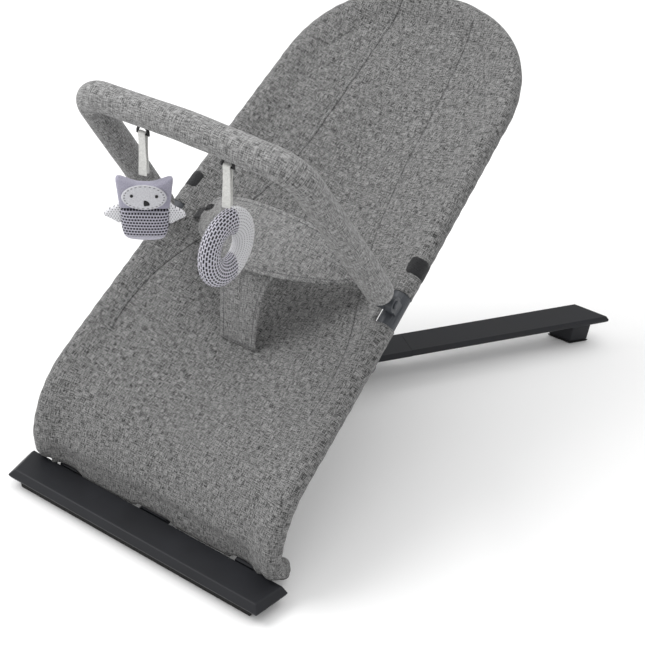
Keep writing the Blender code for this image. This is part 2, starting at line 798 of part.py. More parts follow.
def build_harness_strap(name, side):
    """Elastic strap from the edge of the sling to the back of the tab."""
    width = 0.018
    steps = 6
    foot = Vector((0.158, sling_lift(0.158, TAB_S) + 0.0032))
    top = Vector((TAB_X, band_lift(TAB_X) - 0.0120))
    rows = []
    for index in range(steps + 1):
        share = index / steps
        across = foot.lerp(top, share)
        bow = 0.002 * math.sin(math.pi * share)
        row = []
        for edge in (-1, 0, 1):
            row.append(seat_point(side * (across.x + bow), TAB_S + edge * width / 2, across.y))
        rows.append(row)
    shell("harness_strap_" + name, rows, 0.0016, "webbing")


def build_crotch_piece():
    """The piece between the legs: from the seat, up behind the lower edge of the band."""
    steps = 12
    foot_s = 0.128
    rows = []
    for index in range(steps + 1):
        share = index / steps
        s = foot_s + (0.222 - foot_s) * share
        rise = math.sin(math.pi / 2 * share)
        half = 0.030 + 0.020 * share ** 2
        row = []
        for column in range(9):
            x = half * (column / 4 - 1)
            low = sling_lift(x, s) + 0.0048
            high = band_lift(x) - 0.0060
            row.append(seat_point(x, s, low + (high - low) * rise))
        rows.append(row)
    shell("crotch_piece", rows, HARNESS_THICKNESS, "tweed")


# ---------------------------------------------------------------- stay

def build_stay():
    pivot = seat_point(STAY_X, BRACKET_S, STAY_LIFT)
    foot = at(0.044, STAY_FOOT_Y, STAY_FOOT_Z)
    start = pivot + (foot - pivot).normalized() * 0.0122
    flip = Vector((-1, 1, 1))
    corners = [start, foot, foot * flip, start * flip]
    points = rounded_path(corners, (0.012, 0.012))
    arm = 8
    first = [points[0].lerp(points[1], index / arm) for index in range(arm)]
    last = [points[-2].lerp(points[-1], (index + 1) / arm) for index in range(arm)]
    tube("stay_tube", first + points[1:-1] + last, STAY_RADIUS, "steel")
    sleeve("stay_foot_sleeve", at(0, STAY_FOOT_Y, STAY_FOOT_Z), Vector((1, 0, 0)), 0.050,
           STAY_RADIUS + GAP, SLEEVE_RADIUS, "rubber", chamfer=0.0006)
    for name, side in sides():
        place = seat_point(side * STAY_X, BRACKET_S, STAY_LIFT)
        sleeve("stay_lug_" + name, place, Vector((side, 0, 0)), 0.0110, 0.0040, 0.0085, "clip")


# ---------------------------------------------------------------- toy bar

def toy_bar_path():
    corners = [(-TOY_END_X, 0.0600), (-TOY_END_X + 0.003, 0.105), (-TOY_CORNER_X[-1], TOY_CORNER[-1]),
               (0.0, TOY_TOP), (TOY_CORNER_X[1], TOY_CORNER[1]), (TOY_END_X - 0.003, 0.105),
               (TOY_END_X, 0.0600)]
    points = [toy_point(x, height) for x, height in corners]
    return rounded_path(points, (0.30, 0.042, 0.60, 0.042, 0.30), step=math.radians(10))


def spread(points, longest):
    """The same path with no stretch longer than the given length."""
    result = [points[0]]
    for start, end in zip(points, points[1:]):
        count = max(1, math.ceil((end - start).length / longest))
        for index in range(count):
            result.append(start.lerp(end, (index + 1) / count))
    return result


def build_toy_bar():
    path = spread(toy_bar_path(), 0.035)
    tube("toy_bar_tube", path, TOY_TUBE_RADIUS, "steel", resolution=2)
    ends = [toy_point(-TOY_END_X, 0.0440)] + path + [toy_point(TOY_END_X, 0.0440)]
    guide = tube_curve("cover_guide", ends, TOY_COVER_RADIUS, resolution=4, caps=False)
    CUTTERS.objects.link(guide)
    graph = bpy.context.evaluated_depsgraph_get()
    mesh = bpy.data.meshes.new_from_object(guide.evaluated_get(graph))
    cover = link(bpy.data.objects.new("toy_bar_cover", mesh), "tweed")
    bpy.data.objects.remove(guide, do_unlink=True)
    padding = cover.modifiers.new("solidify", "SOLIDIFY")
    padding.thickness = TOY_COVER_RADIUS - TOY_COVER_BORE
    padding.offset = -1.0
    padding.use_even_offset = True


def build_toy_bar_end(name, side):
    """A flat eye on the pivot, with a stem that plugs into the bar's tube."""
    eye = cylinder("toy_bar_end_" + name, toy_point(side * 0.1750, TOY_PIVOT),
                   toy_point(side * 0.1878, TOY_PIVOT), 0.0110, "clip", sides=24)
    stem = cylinder("stem_" + name, toy_point(side * TOY_END_X, TOY_PIVOT + 0.007),
                    toy_point(side * TOY_END_X, 0.0595), 0.0064, cutter=True, sides=20)
    hole = cylinder("end_hole_" + name, toy_point(side * 0.170, TOY_PIVOT),
                    toy_point(side * 0.195, TOY_PIVOT), TOY_PIN_RADIUS + GAP, cutter=True, sides=16)
    cut(eye, stem, "UNION")
    cut(eye, hole)


def bar_bottom(x):
    """The underside of the toy bar's cover, straight below its centre line."""
    side = 1 if x > 0 else -1
    share = abs(x) / TOY_CORNER_X[side]
    centre = toy_point(x, TOY_TOP - (TOY_TOP - TOY_CORNER[side]) * share - 0.0003)
    return centre - Vector((0, 0, TOY_COVER_RADIUS))


HOOK_DROP = 0.011
HOOK_WIRE = 0.0019


def build_hook(toy):
    """A D-shaped loop under the bar: an arch across the seat, with a straight lower side."""
    top = bar_bottom(TOY_HANG_X[toy]) - Vector((0, 0, GAP * 2 + HOOK_WIRE))
    half = 0.0085
    points = []
    for across, up in arc((0, -HOOK_DROP), half, 0, 180, 10):
        points.append(top + Vector((across, 0, min(-HOOK_DROP + (up + HOOK_DROP) * 1.25, -0.0004))))
    tube(toy + "_hook", points, HOOK_WIRE, "black", resolution=2, cyclic=True)


def hook_axis(toy):
    return bar_bottom(TOY_HANG_X[toy]) - Vector((0, 0, GAP * 2 + HOOK_WIRE + HOOK_DROP))


def build_ribbon(toy, length):
    """A doubled ribbon around the straight side of the hook."""
    inner = HOOK_WIRE + 0.0005
    outer = inner + 0.0012
    outlines = []
    for radius in (outer, inner):
        outline = arc((0, 0), radius, 0, 180, 8)
        outline += arc((0, -length + outer), radius, 180, 360, 8)
        outlines.append(outline)
    frame = frame_at(hook_axis(toy), Vector((0, 1, 0)), Vector((0, 0, 1)))
    plate(toy + "_ribbon", outlines, 0.0110, frame, "ribbon")


# ---------------------------------------------------------------- toys

OWL_RIBBON = 0.058
RING_RIBBON = 0.056
OWL_TURN = math.radians(38)
RING_TURN = math.radians(90)
RING_MAJOR = 0.0325
RING_MINOR = 0.0183
RING_FLAT = 0.60


def toy_frame(toy, drop, turn):
    """An upright frame below the hook: X across, Y up, Z towards the foot end."""
    origin = hook_axis(toy) - Vector((0, 0, drop))
    return Matrix.Translation(origin) @ Matrix.Rotation(turn, 4, "Z") @ Matrix.Rotation(math.pi / 2, 4, "X")


def owl_piece(name, outline, thickness, look, edge, forward=0.0, place=(0, 0)):
    """A flat piece of the owl, its outline across and up, some way in front of the middle."""
    frame = toy_frame("owl", OWL_RIBBON + 0.0035, OWL_TURN) @ Matrix.Translation((*place, forward))
    plate("owl_" + name, [outline], thickness, frame, look, edge)


def mirrored(half):
    """A closed outline from its right half, listed from the top down."""
    return half + [(-x, y) for x, y in reversed(half)]


def ellipse(across, up, count):
    return [(across * math.cos(2 * math.pi * index / count), up * math.sin(2 * math.pi * index / count))
            for index in range(count)]


def build_owl():
    """An upright owl cushion: a head with ears over a round body, a face disc and two wings."""
    head_thick = 0.0200
    body_thick = 0.0230
    neck = -0.0375
    head = mirrored([(0.0120, -0.0030), (0.0300, 0.0030), (0.0330, 0.0005), (0.0312, -0.0130),
                     (0.0295, -0.0260), (0.0285, neck)])
    owl_piece("head", head, head_thick, "lavender", 0.0050)
    body = mirrored([(0.0280, neck - GAP * 2), (0.0286, -0.0500), (0.0270, -0.0680),
                     (0.0232, -0.0780), (0.0120, -0.0808)])
    owl_piece("body", body, body_thick, "lavender", 0.0060)

    face_thick = 0.0014
    face_forward = head_thick / 2 + GAP + face_thick / 2
    owl_piece("face", ellipse(0.0262, 0.0165, 28), face_thick, "pale", 0.0, face_forward, (0, -0.0200))
    front = head_thick / 2 + GAP * 2 + face_thick
    for name, side in sides():
        owl_piece("eye_" + name, ellipse(0.0019, 0.0019, 10), 0.0008, "black", 0.0, front + 0.0004,
                  (side * 0.0145, -0.0175))
        wing = [(0.0296, -0.0345), (0.0360, -0.0385), (0.0440, -0.0430), (0.0487, -0.0475),
                (0.0470, -0.0510), (0.0400, -0.0545), (0.0296, -0.0580)]
        wing = [(side * x, y) for x, y in wing]
        owl_piece("wing_" + name, wing, 0.0090, "pale", 0.0024)
    beak = [(-0.0026, -0.0034), (-0.0026, 0.0040)] + arc((-0.0026, -0.0034), 0.0068, 70, 0, 5)
    owl_piece("beak", beak, 0.0010, "black", 0.0, front + 0.0005, (0.0020, -0.0265))


def build_ring():
    """A soft ring that hangs from its ribbon and has turned a little about it."""
    bpy.ops.mesh.primitive_torus_add(major_radius=RING_MAJOR, minor_radius=RING_MINOR,
                                     major_segments=32, minor_segments=14)
    ring = bpy.context.active_object
    ring.name = "ring_plush"
    for holder in list(ring.users_collection):
        holder.objects.unlink(ring)
    link(ring, "lavender")
    ring.data.transform(Matrix.Diagonal((1.0, 1.0, RING_FLAT, 1.0)))
    ring.data.shade_smooth()
    ring.matrix_world = toy_frame("ring", RING_RIBBON + 0.0008 + RING_MAJOR + RING_MINOR, RING_TURN)


# ---------------------------------------------------------------- assembly

def pivot_empty(name, place, parent=None):
    empty = bpy.data.objects.new(name, None)
    PARTS.objects.link(empty)
    empty.location = place
    if parent:
        attach(empty, parent)
    return empty


def attach(obj, parent):
    bpy.context.view_layer.update()
    obj.parent = parent
    obj.matrix_parent_inverse = parent.matrix_world.inverted()


def attach_named(prefixes, parent):
    for obj in list(PARTS.objects):
        if obj.type != "EMPTY" and obj.name.startswith(prefixes):
            attach(obj, parent)


def build_base():
    build_foot_bar()
    build_spine()
    build_hub()
    build_rack()
    for name, side in sides():
        build_rear_leg(name, side)
        build_rear_foot(name, side)
        build_hinge_saddle(name, side)
        build_leg_splice(name, side)
        build_leg_bolt(name, side)


def build_seat():
    build_upper_tube()
    build_hem_rod()
    build_seat_sling()
    build_back_sling()
    build_waist_band()
    build_crotch_piece()
    for name, side in sides():
        build_lower_tube(name, side)
        build_frame_fittings(name, side)
        build_toggle(name, side)
        build_harness_strap(name, side)


def build_toys():
    build_toy_bar()
    for name, side in sides():
        build_toy_bar_end(name, side)
    build_hook("owl")
    build_hook("ring")
    build_ribbon("owl", OWL_RIBBON)
    build_ribbon("ring", RING_RIBBON)
    build_owl()
    build_ring()


def assemble():
    """Each moving group hangs from an empty on its joint's axis."""
    recline = pivot_empty("recline_axis", at(0, HINGE_Y, HINGE_Z))
    flex = pivot_empty("flex_axis", seat_point(0, FLEX_S), recline)
    stay = pivot_empty("stay_axis", seat_point(0, BRACKET_S, STAY_LIFT), recline)
    toy_bar = pivot_empty("toy_bar_axis", toy_point(0, TOY_PIVOT), recline)
    owl = pivot_empty("owl_axis", hook_axis("owl"), toy_bar)
    ring = pivot_empty("ring_axis", hook_axis("ring"), toy_bar)
    attach_named(("lower_tube", "toy_bar_clip", "toy_bar_pin", "stay_bracket", "stay_pin", "frame_strap",
                  "hem_rod", "seat_sling", "waist_band", "crotch", "harness"), recline)
    attach_named(("upper_tube", "back_sling"), flex)
    attach_named(("stay_tube", "stay_lug", "stay_foot"), stay)
    attach_named(("toy_bar_tube", "toy_bar_cover", "toy_bar_end", "owl_hook", "ring_hook"), toy_bar)
    attach_named(("owl_ribbon", "owl_head", "owl_body", "owl_face", "owl_eye", "owl_wing", "owl_beak"), owl)
    attach_named(("ring_ribbon", "ring_plush"), ring)


build_base()
build_seat()
build_stay()
build_toys()
assemble()
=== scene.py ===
"""A bouncer seat: fabric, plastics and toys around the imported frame."""

import math

import bmesh
import bpy
from mathutils import Matrix, Vector, noise


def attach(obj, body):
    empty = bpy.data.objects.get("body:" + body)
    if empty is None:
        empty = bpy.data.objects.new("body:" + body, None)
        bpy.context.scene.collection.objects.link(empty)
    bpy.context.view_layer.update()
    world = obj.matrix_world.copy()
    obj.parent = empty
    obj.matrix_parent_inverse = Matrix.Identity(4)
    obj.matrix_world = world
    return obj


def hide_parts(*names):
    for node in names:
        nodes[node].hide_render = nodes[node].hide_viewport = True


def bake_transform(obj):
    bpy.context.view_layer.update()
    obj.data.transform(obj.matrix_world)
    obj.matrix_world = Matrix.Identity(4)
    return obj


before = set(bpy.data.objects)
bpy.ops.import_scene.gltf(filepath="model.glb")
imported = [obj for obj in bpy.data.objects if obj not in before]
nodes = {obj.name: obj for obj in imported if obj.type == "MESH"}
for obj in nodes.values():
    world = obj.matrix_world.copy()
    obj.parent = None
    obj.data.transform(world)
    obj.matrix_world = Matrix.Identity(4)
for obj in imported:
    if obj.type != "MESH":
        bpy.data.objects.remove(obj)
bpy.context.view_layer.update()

# ---------------------------------------------------------------- the seat's own lines
LENGTH = 0.862
INCLINE = math.radians(31.6)
LINE_Y = 0.115
LINE_Z = 0.165
BEND_RADIUS = 0.130
TUBE_X_FRONT = 0.196
TUBE_X_HEAD = 0.175
HEAD_S = 0.553
HEAD_POWER = 2.25
HEAD_TOP = HEAD_S + TUBE_X_HEAD
FLEX_S = 0.345
HEM_S = -0.1565
HEM_EASE = -0.1050
HEM_SET_BACK = 0.0052
SAG = 0.040
CLIP_S = 0.248
CLIP_RADIUS = 0.0135
CLIP_CUT = 0.0262
BRACKET_S = 0.170
STRAP_S = 0.314
STRAP_LENGTH = 0.026
TOY_LEAN = math.radians(35.3)
TOY_END_X = 0.181
TOY_CORNER_X = {-1: 0.161, 1: 0.1535}
TOY_CORNER = {-1: 0.338, 1: 0.335}
TOY_TOP = 0.347
TOY_COVER_RADIUS = 0.0150
TOY_HANG_X = {"owl": -0.065, "ring": 0.061}
HOOK_DROP = 0.011
HOOK_WIRE = 0.0019
HOOK_GAP = 0.0008
RIBBON = {"owl": 0.058, "ring": 0.056}
TURN = {"owl": math.radians(38), "ring": math.radians(90)}
TAPE_TURN = 0.30
RING_MAJOR = 0.0332
RING_MINOR = 0.0176
RING_FLAT = 0.60
BAND_HALF = 0.134
BAND_TOP = 0.290
BAND_LOW = 0.192
BAND_END_LOW = 0.250
BAND_LIFT = 0.076
BAND_END_LIFT = 0.022
TAB_X = 0.118
TAB_S = 0.271
QUILT_PITCH = 0.031
RIB_PITCH = 0.0095
STITCH_INSET = 0.0062
SIDES = (("left", -1), ("right", 1))


def clamp(value, low=0.0, high=1.0):
    return min(max(value, low), high)


def smooth(low, high, value):
    """0 below low, 1 above high, and a soft step between."""
    share = clamp((value - low) / (high - low))
    return share * share * (3 - 2 * share)


def bump(centre, width, value):
    """A soft hill of height 1 around centre."""
    return math.exp(-((value - centre) / width) ** 2)


def at(x, y, z):
    """A point, from y measured back from the front edge of the foot bar."""
    return Vector((x, y - LENGTH / 2, z))


def side_line(s):
    """Depth, height and slope of the seat's side line, s metres up from the front bend."""
    if s >= 0:
        return LINE_Y + s * math.cos(INCLINE), LINE_Z + s * math.sin(INCLINE), INCLINE
    centre_y = LINE_Y + BEND_RADIUS * math.sin(INCLINE)
    centre_z = LINE_Z - BEND_RADIUS * math.cos(INCLINE)
    bend = math.pi / 2 - INCLINE
    turned = min(-s / BEND_RADIUS, bend)
    slope = INCLINE + turned
    below = -s - turned * BEND_RADIUS
    y = centre_y - BEND_RADIUS * math.sin(slope)
    z = centre_z + BEND_RADIUS * math.cos(slope) - below
    return y, z, slope


def seat_point(x, s, lift=0.0):
    y, z, slope = side_line(s)
    return at(x, y - lift * math.sin(slope), z + lift * math.cos(slope))


def tube_x(s):
    """Half the distance between the side tubes."""
    if s <= 0:
        return TUBE_X_FRONT
    if s <= HEAD_S:
        return TUBE_X_FRONT - (TUBE_X_FRONT - TUBE_X_HEAD) * (s / HEAD_S) ** 1.2
    rise = min((s - HEAD_S) / TUBE_X_HEAD, 1.0)
    return TUBE_X_HEAD * (1.0 - rise ** HEAD_POWER) ** (1.0 / HEAD_POWER)


def hem_back(s):
    share = clamp((HEM_EASE - s) / (HEM_EASE - HEM_S))
    return -HEM_SET_BACK * share ** 2 * (3 - 2 * share)


def sling_lift(x, s):
    """Sag of the sling below the plane of the side tubes."""
    along = clamp((s - HEM_S) / (HEAD_TOP - HEM_S))
    across = min(abs(x) / max(tube_x(s), 0.02), 1.0)
    sag = SAG * math.sin(math.pi * along) * math.cos(math.pi / 2 * across) ** 2
    return hem_back(s) - sag


def toy_point(x, height, forward=0.0):
    """A point in the plane of the toy bar, height metres up its legs."""
    y, z, _ = side_line(CLIP_S)
    lean_y = -math.sin(TOY_LEAN)
    lean_z = math.cos(TOY_LEAN)
    return at(x, y + height * lean_y - forward * lean_z, z + height * lean_z + forward * lean_y)


def rounded_path(corners, radii, step=math.radians(6)):
    """Corner points joined by arcs of the given radii."""
    points = [corners[0]]
    for before, corner, after, radius in zip(corners, corners[1:], corners[2:], radii):
        back = (before - corner).normalized()
        ahead = (after - corner).normalized()
        turn = math.pi - back.angle(ahead)
        start = corner + back * radius * math.tan(turn / 2)
        centre = corner + (back + ahead).normalized() * radius / math.cos(turn / 2)
        axis = (-back).cross(ahead).normalized()
        count = max(2, math.ceil(turn / step))
        for index in range(count + 1):
            spin = Matrix.Rotation(turn * index / count, 3, axis)
            points.append(centre + spin @ (start - centre))
    points.append(corners[-1])
    return points


def spread(points, longest):
    """The same path with no stretch longer than the given length."""
    result = [points[0]]
    for start, end in zip(points, points[1:]):
        count = max(1, math.ceil((end - start).length / longest))
        for index in range(count):
            result.append(start.lerp(end, (index + 1) / count))
    return result


def spline(a, b, c, d, t):
    """A smooth step from b to c, shaped by the knots before and after."""
    return 0.5 * (2 * b + (c - a) * t + (2 * a - 5 * b + 4 * c - d) * t * t
                  + (3 * b - a - 3 * c + d) * t ** 3)


def catmull(knots, share):
    """A smooth value through evenly spaced knots."""
    place = clamp(share) * (len(knots) - 1)
    index = min(int(place), len(knots) - 2)
    before = knots[max(index - 1, 0)]
    after = knots[min(index + 2, len(knots) - 1)]
    return spline(before, knots[index], knots[index + 1], after, place - index)


# ---------------------------------------------------------------- materials

class Signal:
    """A value inside a material, which takes part in plain arithmetic."""

    def __init__(self, look, socket):
        self.look = look
        self.socket = socket

    def __add__(self, other):
        return self.look.math("ADD", self, other)

    def __mul__(self, other):
        return self.look.math("MULTIPLY", self, other)

    def __sub__(self, other):
        return self.look.math("SUBTRACT", self, other)

    def __rsub__(self, other):
        return self.look.math("SUBTRACT", other, self)

    def __truediv__(self, other):
        return self.look.math("DIVIDE", self, other)

    def __mod__(self, other):
        return self.look.math("FLOORED_MODULO", self, other)

    def __abs__(self):
        return self.look.math("ABSOLUTE", self)

    __radd__ = __add__
    __rmul__ = __mul__


class Look:
    """A material under construction: one Principled shader and the nodes that feed it."""

    def __init__(self, name, **constants):
        self.material = bpy.data.materials.new(name)
        self.material.use_nodes = True
        self.tree = self.material.node_tree
        self.shader = self.tree.nodes["Principled BSDF"]
        for socket, value in constants.items():
            self.shader.inputs[socket.replace("_", " ")].default_value = value

    def node(self, kind, settings=None, output=0, **inputs):
        """Adds a node and gives one of its outputs. Inputs are named, or numbered as i0, i1 and on."""
        made = self.tree.nodes.new(kind)
        for key, value in (settings or {}).items():
            setattr(made, key, value)
        for key, value in inputs.items():
            socket = made.inputs[int(key[1:]) if key[1:].isdigit() else key.replace("_", " ")]
            if isinstance(value, Signal):
                self.tree.links.new(value.socket, socket)
            else:
                socket.default_value = value
        return Signal(self, made.outputs[output])

    def math(self, operation, first, second=0.0):
        return self.node("ShaderNodeMath", {"operation": operation}, i0=first, i1=second)

    def wave(self, value, pitch):
        return self.math("SINE", value * (2 * math.pi / pitch))

    def limit(self, value):
        """The value, kept from 0 to 1."""
        return self.node("ShaderNodeClamp", Value=value)

    def cloth(self):
        """Metres along and across the cloth."""
        return self.node("ShaderNodeUVMap", {"uv_map": "cloth"})

    def local(self):
        return self.node("ShaderNodeTexCoord", output="Object")

    def split(self, vector):
        x = self.node("ShaderNodeSeparateXYZ", i0=vector)
        return [Signal(self, socket) for socket in x.socket.node.outputs]

    def value(self, name):
        return self.node("ShaderNodeAttribute", {"attribute_name": name}, output="Fac")

    def noise(self, vector, scale, detail=2.0, stretch=(1, 1, 1), rough=0.5):
        mapped = self.node("ShaderNodeMapping", i0=vector, i3=stretch)
        return self.node("ShaderNodeTexNoise", Vector=mapped, Scale=scale, Detail=detail,
                         Roughness=rough)

    def span(self, value, low, high, to_low=0.0, to_high=1.0, soft=False):
        settings = {"interpolation_type": "SMOOTHSTEP" if soft else "LINEAR"}
        return self.node("ShaderNodeMapRange", settings, i0=value, i1=low, i2=high, i3=to_low,
                         i4=to_high)

    def mix(self, share, first, second):
        colours = [c if isinstance(c, Signal) else (*c, 1.0) for c in (first, second)]
        return self.node("ShaderNodeMix", {"data_type": "RGBA"}, output=2, i0=share, i6=colours[0],
                         i7=colours[1])

    def finish(self, colour=None, roughness=None, height=None, distance=0.001, strength=1.0):
        ends = {"Base Color": colour, "Roughness": roughness}
        if height is not None:
            ends["Normal"] = self.node("ShaderNodeBump", Height=height, Strength=strength,
                                       Distance=distance)
        for socket, value in ends.items():
            if value is not None:
                self.tree.links.new(value.socket, self.shader.inputs[socket])
        return self.material


def near_line(look, value, width):
    """1 on the line where value is 0, falling to 0 at width."""
    return look.span(abs(value), 0.0, width, 1.0, 0.0, soft=True)


def weave(look, coordinates, thread=0.0009, slub=0.0100):
    """Streaky slubbed threads in both directions. The result is a height from 0 to 1."""
    lengthwise = look.noise(coordinates, 1.0, 3.0, (1 / thread, 1 / slub, 1 / slub), 0.65)
    crosswise = look.noise(coordinates, 1.0, 3.0, (1 / slub, 1 / thread, 1 / slub), 0.65)
    over = look.span(look.noise(coordinates, 0.5 / thread, 1.0), 0.42, 0.58, 0.20, 0.80)
    first = lengthwise * over
    second = crosswise * (1.0 - over)
    return first + second


def tweed(name, dark=(0.018, 0.018, 0.018), light=(0.285, 0.284, 0.282), quilted=False, rims=False):
    """Grey linen-like cloth. Quilted adds the seat cover's seams, rims a row of edge stitches; both also
    darken their grooves with painted shade.
    """
    look = Look(name, Roughness=0.92, Sheen_Weight=0.12, Sheen_Roughness=0.5,
                Specular_IOR_Level=0.18)
    cloth = look.cloth()
    threads = weave(look, cloth)
    mottle = look.noise(cloth, 22.0, 3.0)
    patch = look.noise(cloth, 160.0, 2.0)
    tone = look.span(threads, 0.42, 0.585)
    tone = (mottle - 0.5) * 0.12 + tone
    tone = look.limit((patch - 0.5) * 0.22 + tone)
    colour = look.mix(tone, dark, light)
    height = threads * 0.55
    if quilted:
        colour, height = quilting(look, cloth, colour, height)
    if rims:
        colour, height = edge_stitches(look, cloth, colour, height)
    return look.finish(colour, None, height, 0.0011, 0.75)


def quilting(look, cloth, colour, height):
    """A triangular grid of shallow stitched grooves on the head end, long seams and edge ribs, with painted
    shade darkening the grooves and seams in the colour.
    """
    across, along, _ = look.split(cloth)
    wander = (look.noise(cloth, 30.0) - 0.5) * 0.004
    groove = None
    for degrees in (0, 60, 120):
        turn = math.radians(degrees)
        place = across * math.sin(turn) + along * math.cos(turn)
        place = (place + wander) / QUILT_PITCH
        offset = look.math("FRACT", place) - 0.5
        line = near_line(look, offset, 0.060)
        groove = line if groove is None else look.math("MAXIMUM", groove, line)
    groove = groove * look.value("quilt")
    seam = near_line(look, look.value("seam"), 0.0016)
    seam = seam * look.value("seam_on")
    dashes = look.span(look.wave(along, 0.0046), -0.3, 0.1)
    row = near_line(look, look.value("seam") - 0.004, 0.0007)
    row = row * dashes * look.value("seam_on")
    ribs = look.math("SINE", look.noise(cloth, 90.0) * 7.0 + along * (2 * math.pi / RIB_PITCH))
    ribs = ribs * look.value("edge")
    # painted shade: the quilting grooves and the long seams are darkened towards near-black in the colour,
    # as shade in their hollows
    painted_shade = look.limit(groove * 0.17 + seam * 0.5)
    colour = look.mix(painted_shade, colour, (0.020, 0.020, 0.022))
    colour = look.mix(row * 0.45, colour, (0.42, 0.42, 0.43))
    height = groove * -0.55 + height
    height = seam * -1.2 + height
    height = ribs * 0.42 + height
    return colour, height


def edge_stitches(look, cloth, colour, height):
    """A row of small stitches along a panel's edge, from its distance to the edge, with painted shade
    darkening the stitched groove in the colour.
    """
    across, along, _ = look.split(cloth)
    run = across + along
    rim = look.value("rim")
    groove = near_line(look, rim - STITCH_INSET, 0.0011)
    dashes = look.span(look.wave(run, 0.004), -0.4, 0.0)
    thread = near_line(look, rim - STITCH_INSET, 0.0006) * dashes
    # painted shade: the stitched groove is darkened in the colour, as shade in the channel
    colour = look.mix(groove * 0.55, colour, (0.022, 0.022, 0.024))
    colour = look.mix(thread * 0.5, colour, (0.34, 0.34, 0.35))
    return colour, groove * -1.1 + height


def moulded(name, dark, light, roughness, grain=900.0, depth=0.00012):
    """Satin plastic: a fine spark-eroded grain, cloudy wear and slightly uneven gloss."""
    look = Look(name, Specular_IOR_Level=0.30)
    place = look.local()
    fine = look.noise(place, grain, 2.0)
    cloud = look.noise(place, 14.0, 3.0)
    scuff = look.noise(place, 60.0, 4.0, (1.0, 0.15, 1.0), 0.65)
    worn = look.span(scuff, 0.60, 0.78, 0.0, 0.25)
    tone = look.limit(look.span(cloud, 0.3, 0.7, 0.0, 0.7) + worn)
    colour = look.mix(tone, dark, light)
    gloss = look.span(cloud, 0.2, 0.8, roughness - 0.05, roughness + 0.07)
    gloss = worn * 0.25 + gloss
    return look.finish(colour, gloss, fine, depth, 0.6)


def coated_steel():
    look = Look("coated_steel", Metallic=0.35, Specular_IOR_Level=0.5)
    place = look.local()
    peel = look.noise(place, 420.0, 2.0)
    tone = look.span(look.noise(place, 25.0), 0.3, 0.7)
    colour = look.mix(tone, (0.036, 0.037, 0.040), (0.066, 0.067, 0.071))
    return look.finish(colour, look.span(peel, 0.2, 0.8, 0.34, 0.46), peel, 0.00015, 0.5)


def rubber():
    look = Look("soft_rubber", Specular_IOR_Level=0.3)
    place = look.local()
    tread = look.wave(look.split(place)[0], 0.005)
    colour = look.mix(look.noise(place, 80.0), (0.010, 0.010, 0.010), (0.022, 0.022, 0.022))
    return look.finish(colour, look.span(look.noise(place, 500.0), 0, 1, 0.72, 0.92), tread, 0.0003, 0.5)


def webbing(name, dark, light, rib=0.0016, thread=0.0007):
    """Narrow woven tape: ribs across it and a fine thread."""
    look = Look(name, Roughness=0.85, Sheen_Weight=0.15, Specular_IOR_Level=0.22)
    cloth = look.cloth()
    across, along, _ = look.split(cloth)
    ribs = look.wave(along, rib)
    rows = look.wave(across, thread)
    height = rows * 0.35 + ribs
    uneven = look.noise(cloth, 350.0, 2.0)
    tone = look.span(uneven * 1.6 + height * 0.5, 0.2, 1.4)
    return look.finish(look.mix(tone, dark, light), None, height, 0.0004, 0.6)


def plush(name, dark, light, cells=None, polar=None, spots=None, hem=None):
    """Soft toy cloth. cells are dark dashes above hem, spots small dots, polar a ring's radius."""
    look = Look(name, Roughness=0.9, Sheen_Weight=0.25, Sheen_Roughness=0.4, Specular_IOR_Level=0.2)
    place = look.local()
    x, y, z = look.split(place)
    if polar:
        outward = look.math("SQRT", x * x + y * y) - polar
        first = look.math("ARCTAN2", y, x) * polar
        second = look.math("ARCTAN2", z * 1.6, outward) * 0.016
    else:
        first, second = x, y
    knit = look.wave(first, 0.0011)
    knit = knit * look.wave(second, 0.0011)
    fuzz = look.noise(place, 900.0, 2.0)
    tone = look.limit(knit * 0.2 + look.span(fuzz, 0.2, 0.8))
    colour = look.mix(tone, dark, light)
    height = knit * 0.3 + fuzz
    if cells:
        mask = cell_mask(look, first, second, *cells)
        if hem:
            mask = mask * look.span(y, hem, hem + 0.001)
        if spots:
            side = look.span(x - 0.01, -0.001, 0.001)
            dots = dot_mask(look, first, second, *spots)
            mask = mask * (1.0 - side) + dots * side
            colour = look.mix(side, colour, (0.62, 0.62, 0.64))
        colour = look.mix(mask, colour, (0.014, 0.014, 0.017))
        height = mask * -1.5 + height
    elif spots:
        mask = dot_mask(look, first, second, *spots)
        colour = look.mix(mask, colour, (0.035, 0.035, 0.04))
        height = mask * -0.6 + height
    return look.finish(colour, None, height, 0.0005, 0.6)


def staggered(look, first, second, wide, tall):
    """Offsets from the middle of the nearest cell, in cells, every second row shifted by half."""
    row = second / tall
    shift = look.math("FLOOR", row) % 2.0 * 0.5
    column = first / wide + shift
    across = abs(look.math("FRACT", column) - 0.5)
    up = abs(look.math("FRACT", row) - 0.5)
    return across, up


def cell_mask(look, first, second, wide, tall):
    across, up = staggered(look, first, second, wide, tall)
    inside = look.span(across, 0.33, 0.4, 1.0, 0.0) * look.span(up, 0.27, 0.36, 1.0, 0.0)
    return inside * 0.97


def dot_mask(look, first, second, wide, tall):
    across, up = staggered(look, first, second, wide, tall)
    reach = look.math("SQRT", across * across + up * up)
    return look.span(reach, 0.16, 0.24, 0.9, 0.0)


def face_cloth(half_width, half_height):
    """Pale felt disc with a row of dark stitches just inside its edge."""
    look = Look("face_felt", Roughness=0.95, Sheen_Weight=0.3, Specular_IOR_Level=0.15)
    place = look.local()
    x, y, _ = look.split(place)
    across = x / half_width
    up = y / half_height
    reach = look.math("SQRT", across * across + up * up)
    ring = near_line(look, reach - 0.88, 0.05)
    dashes = look.math("SINE", look.math("ARCTAN2", up, across) * 26.0)
    stitch = ring * look.span(dashes, -0.1, 0.2)
    fuzz = look.noise(place, 700.0, 3.0)
    colour = look.mix(look.span(fuzz, 0.3, 0.7), (0.50, 0.50, 0.53), (0.66, 0.66, 0.69))
    colour = look.mix(stitch * 0.9, colour, (0.05, 0.05, 0.055))
    height = stitch * -0.8 + fuzz
    return look.finish(colour, None, height, 0.0004, 0.6)


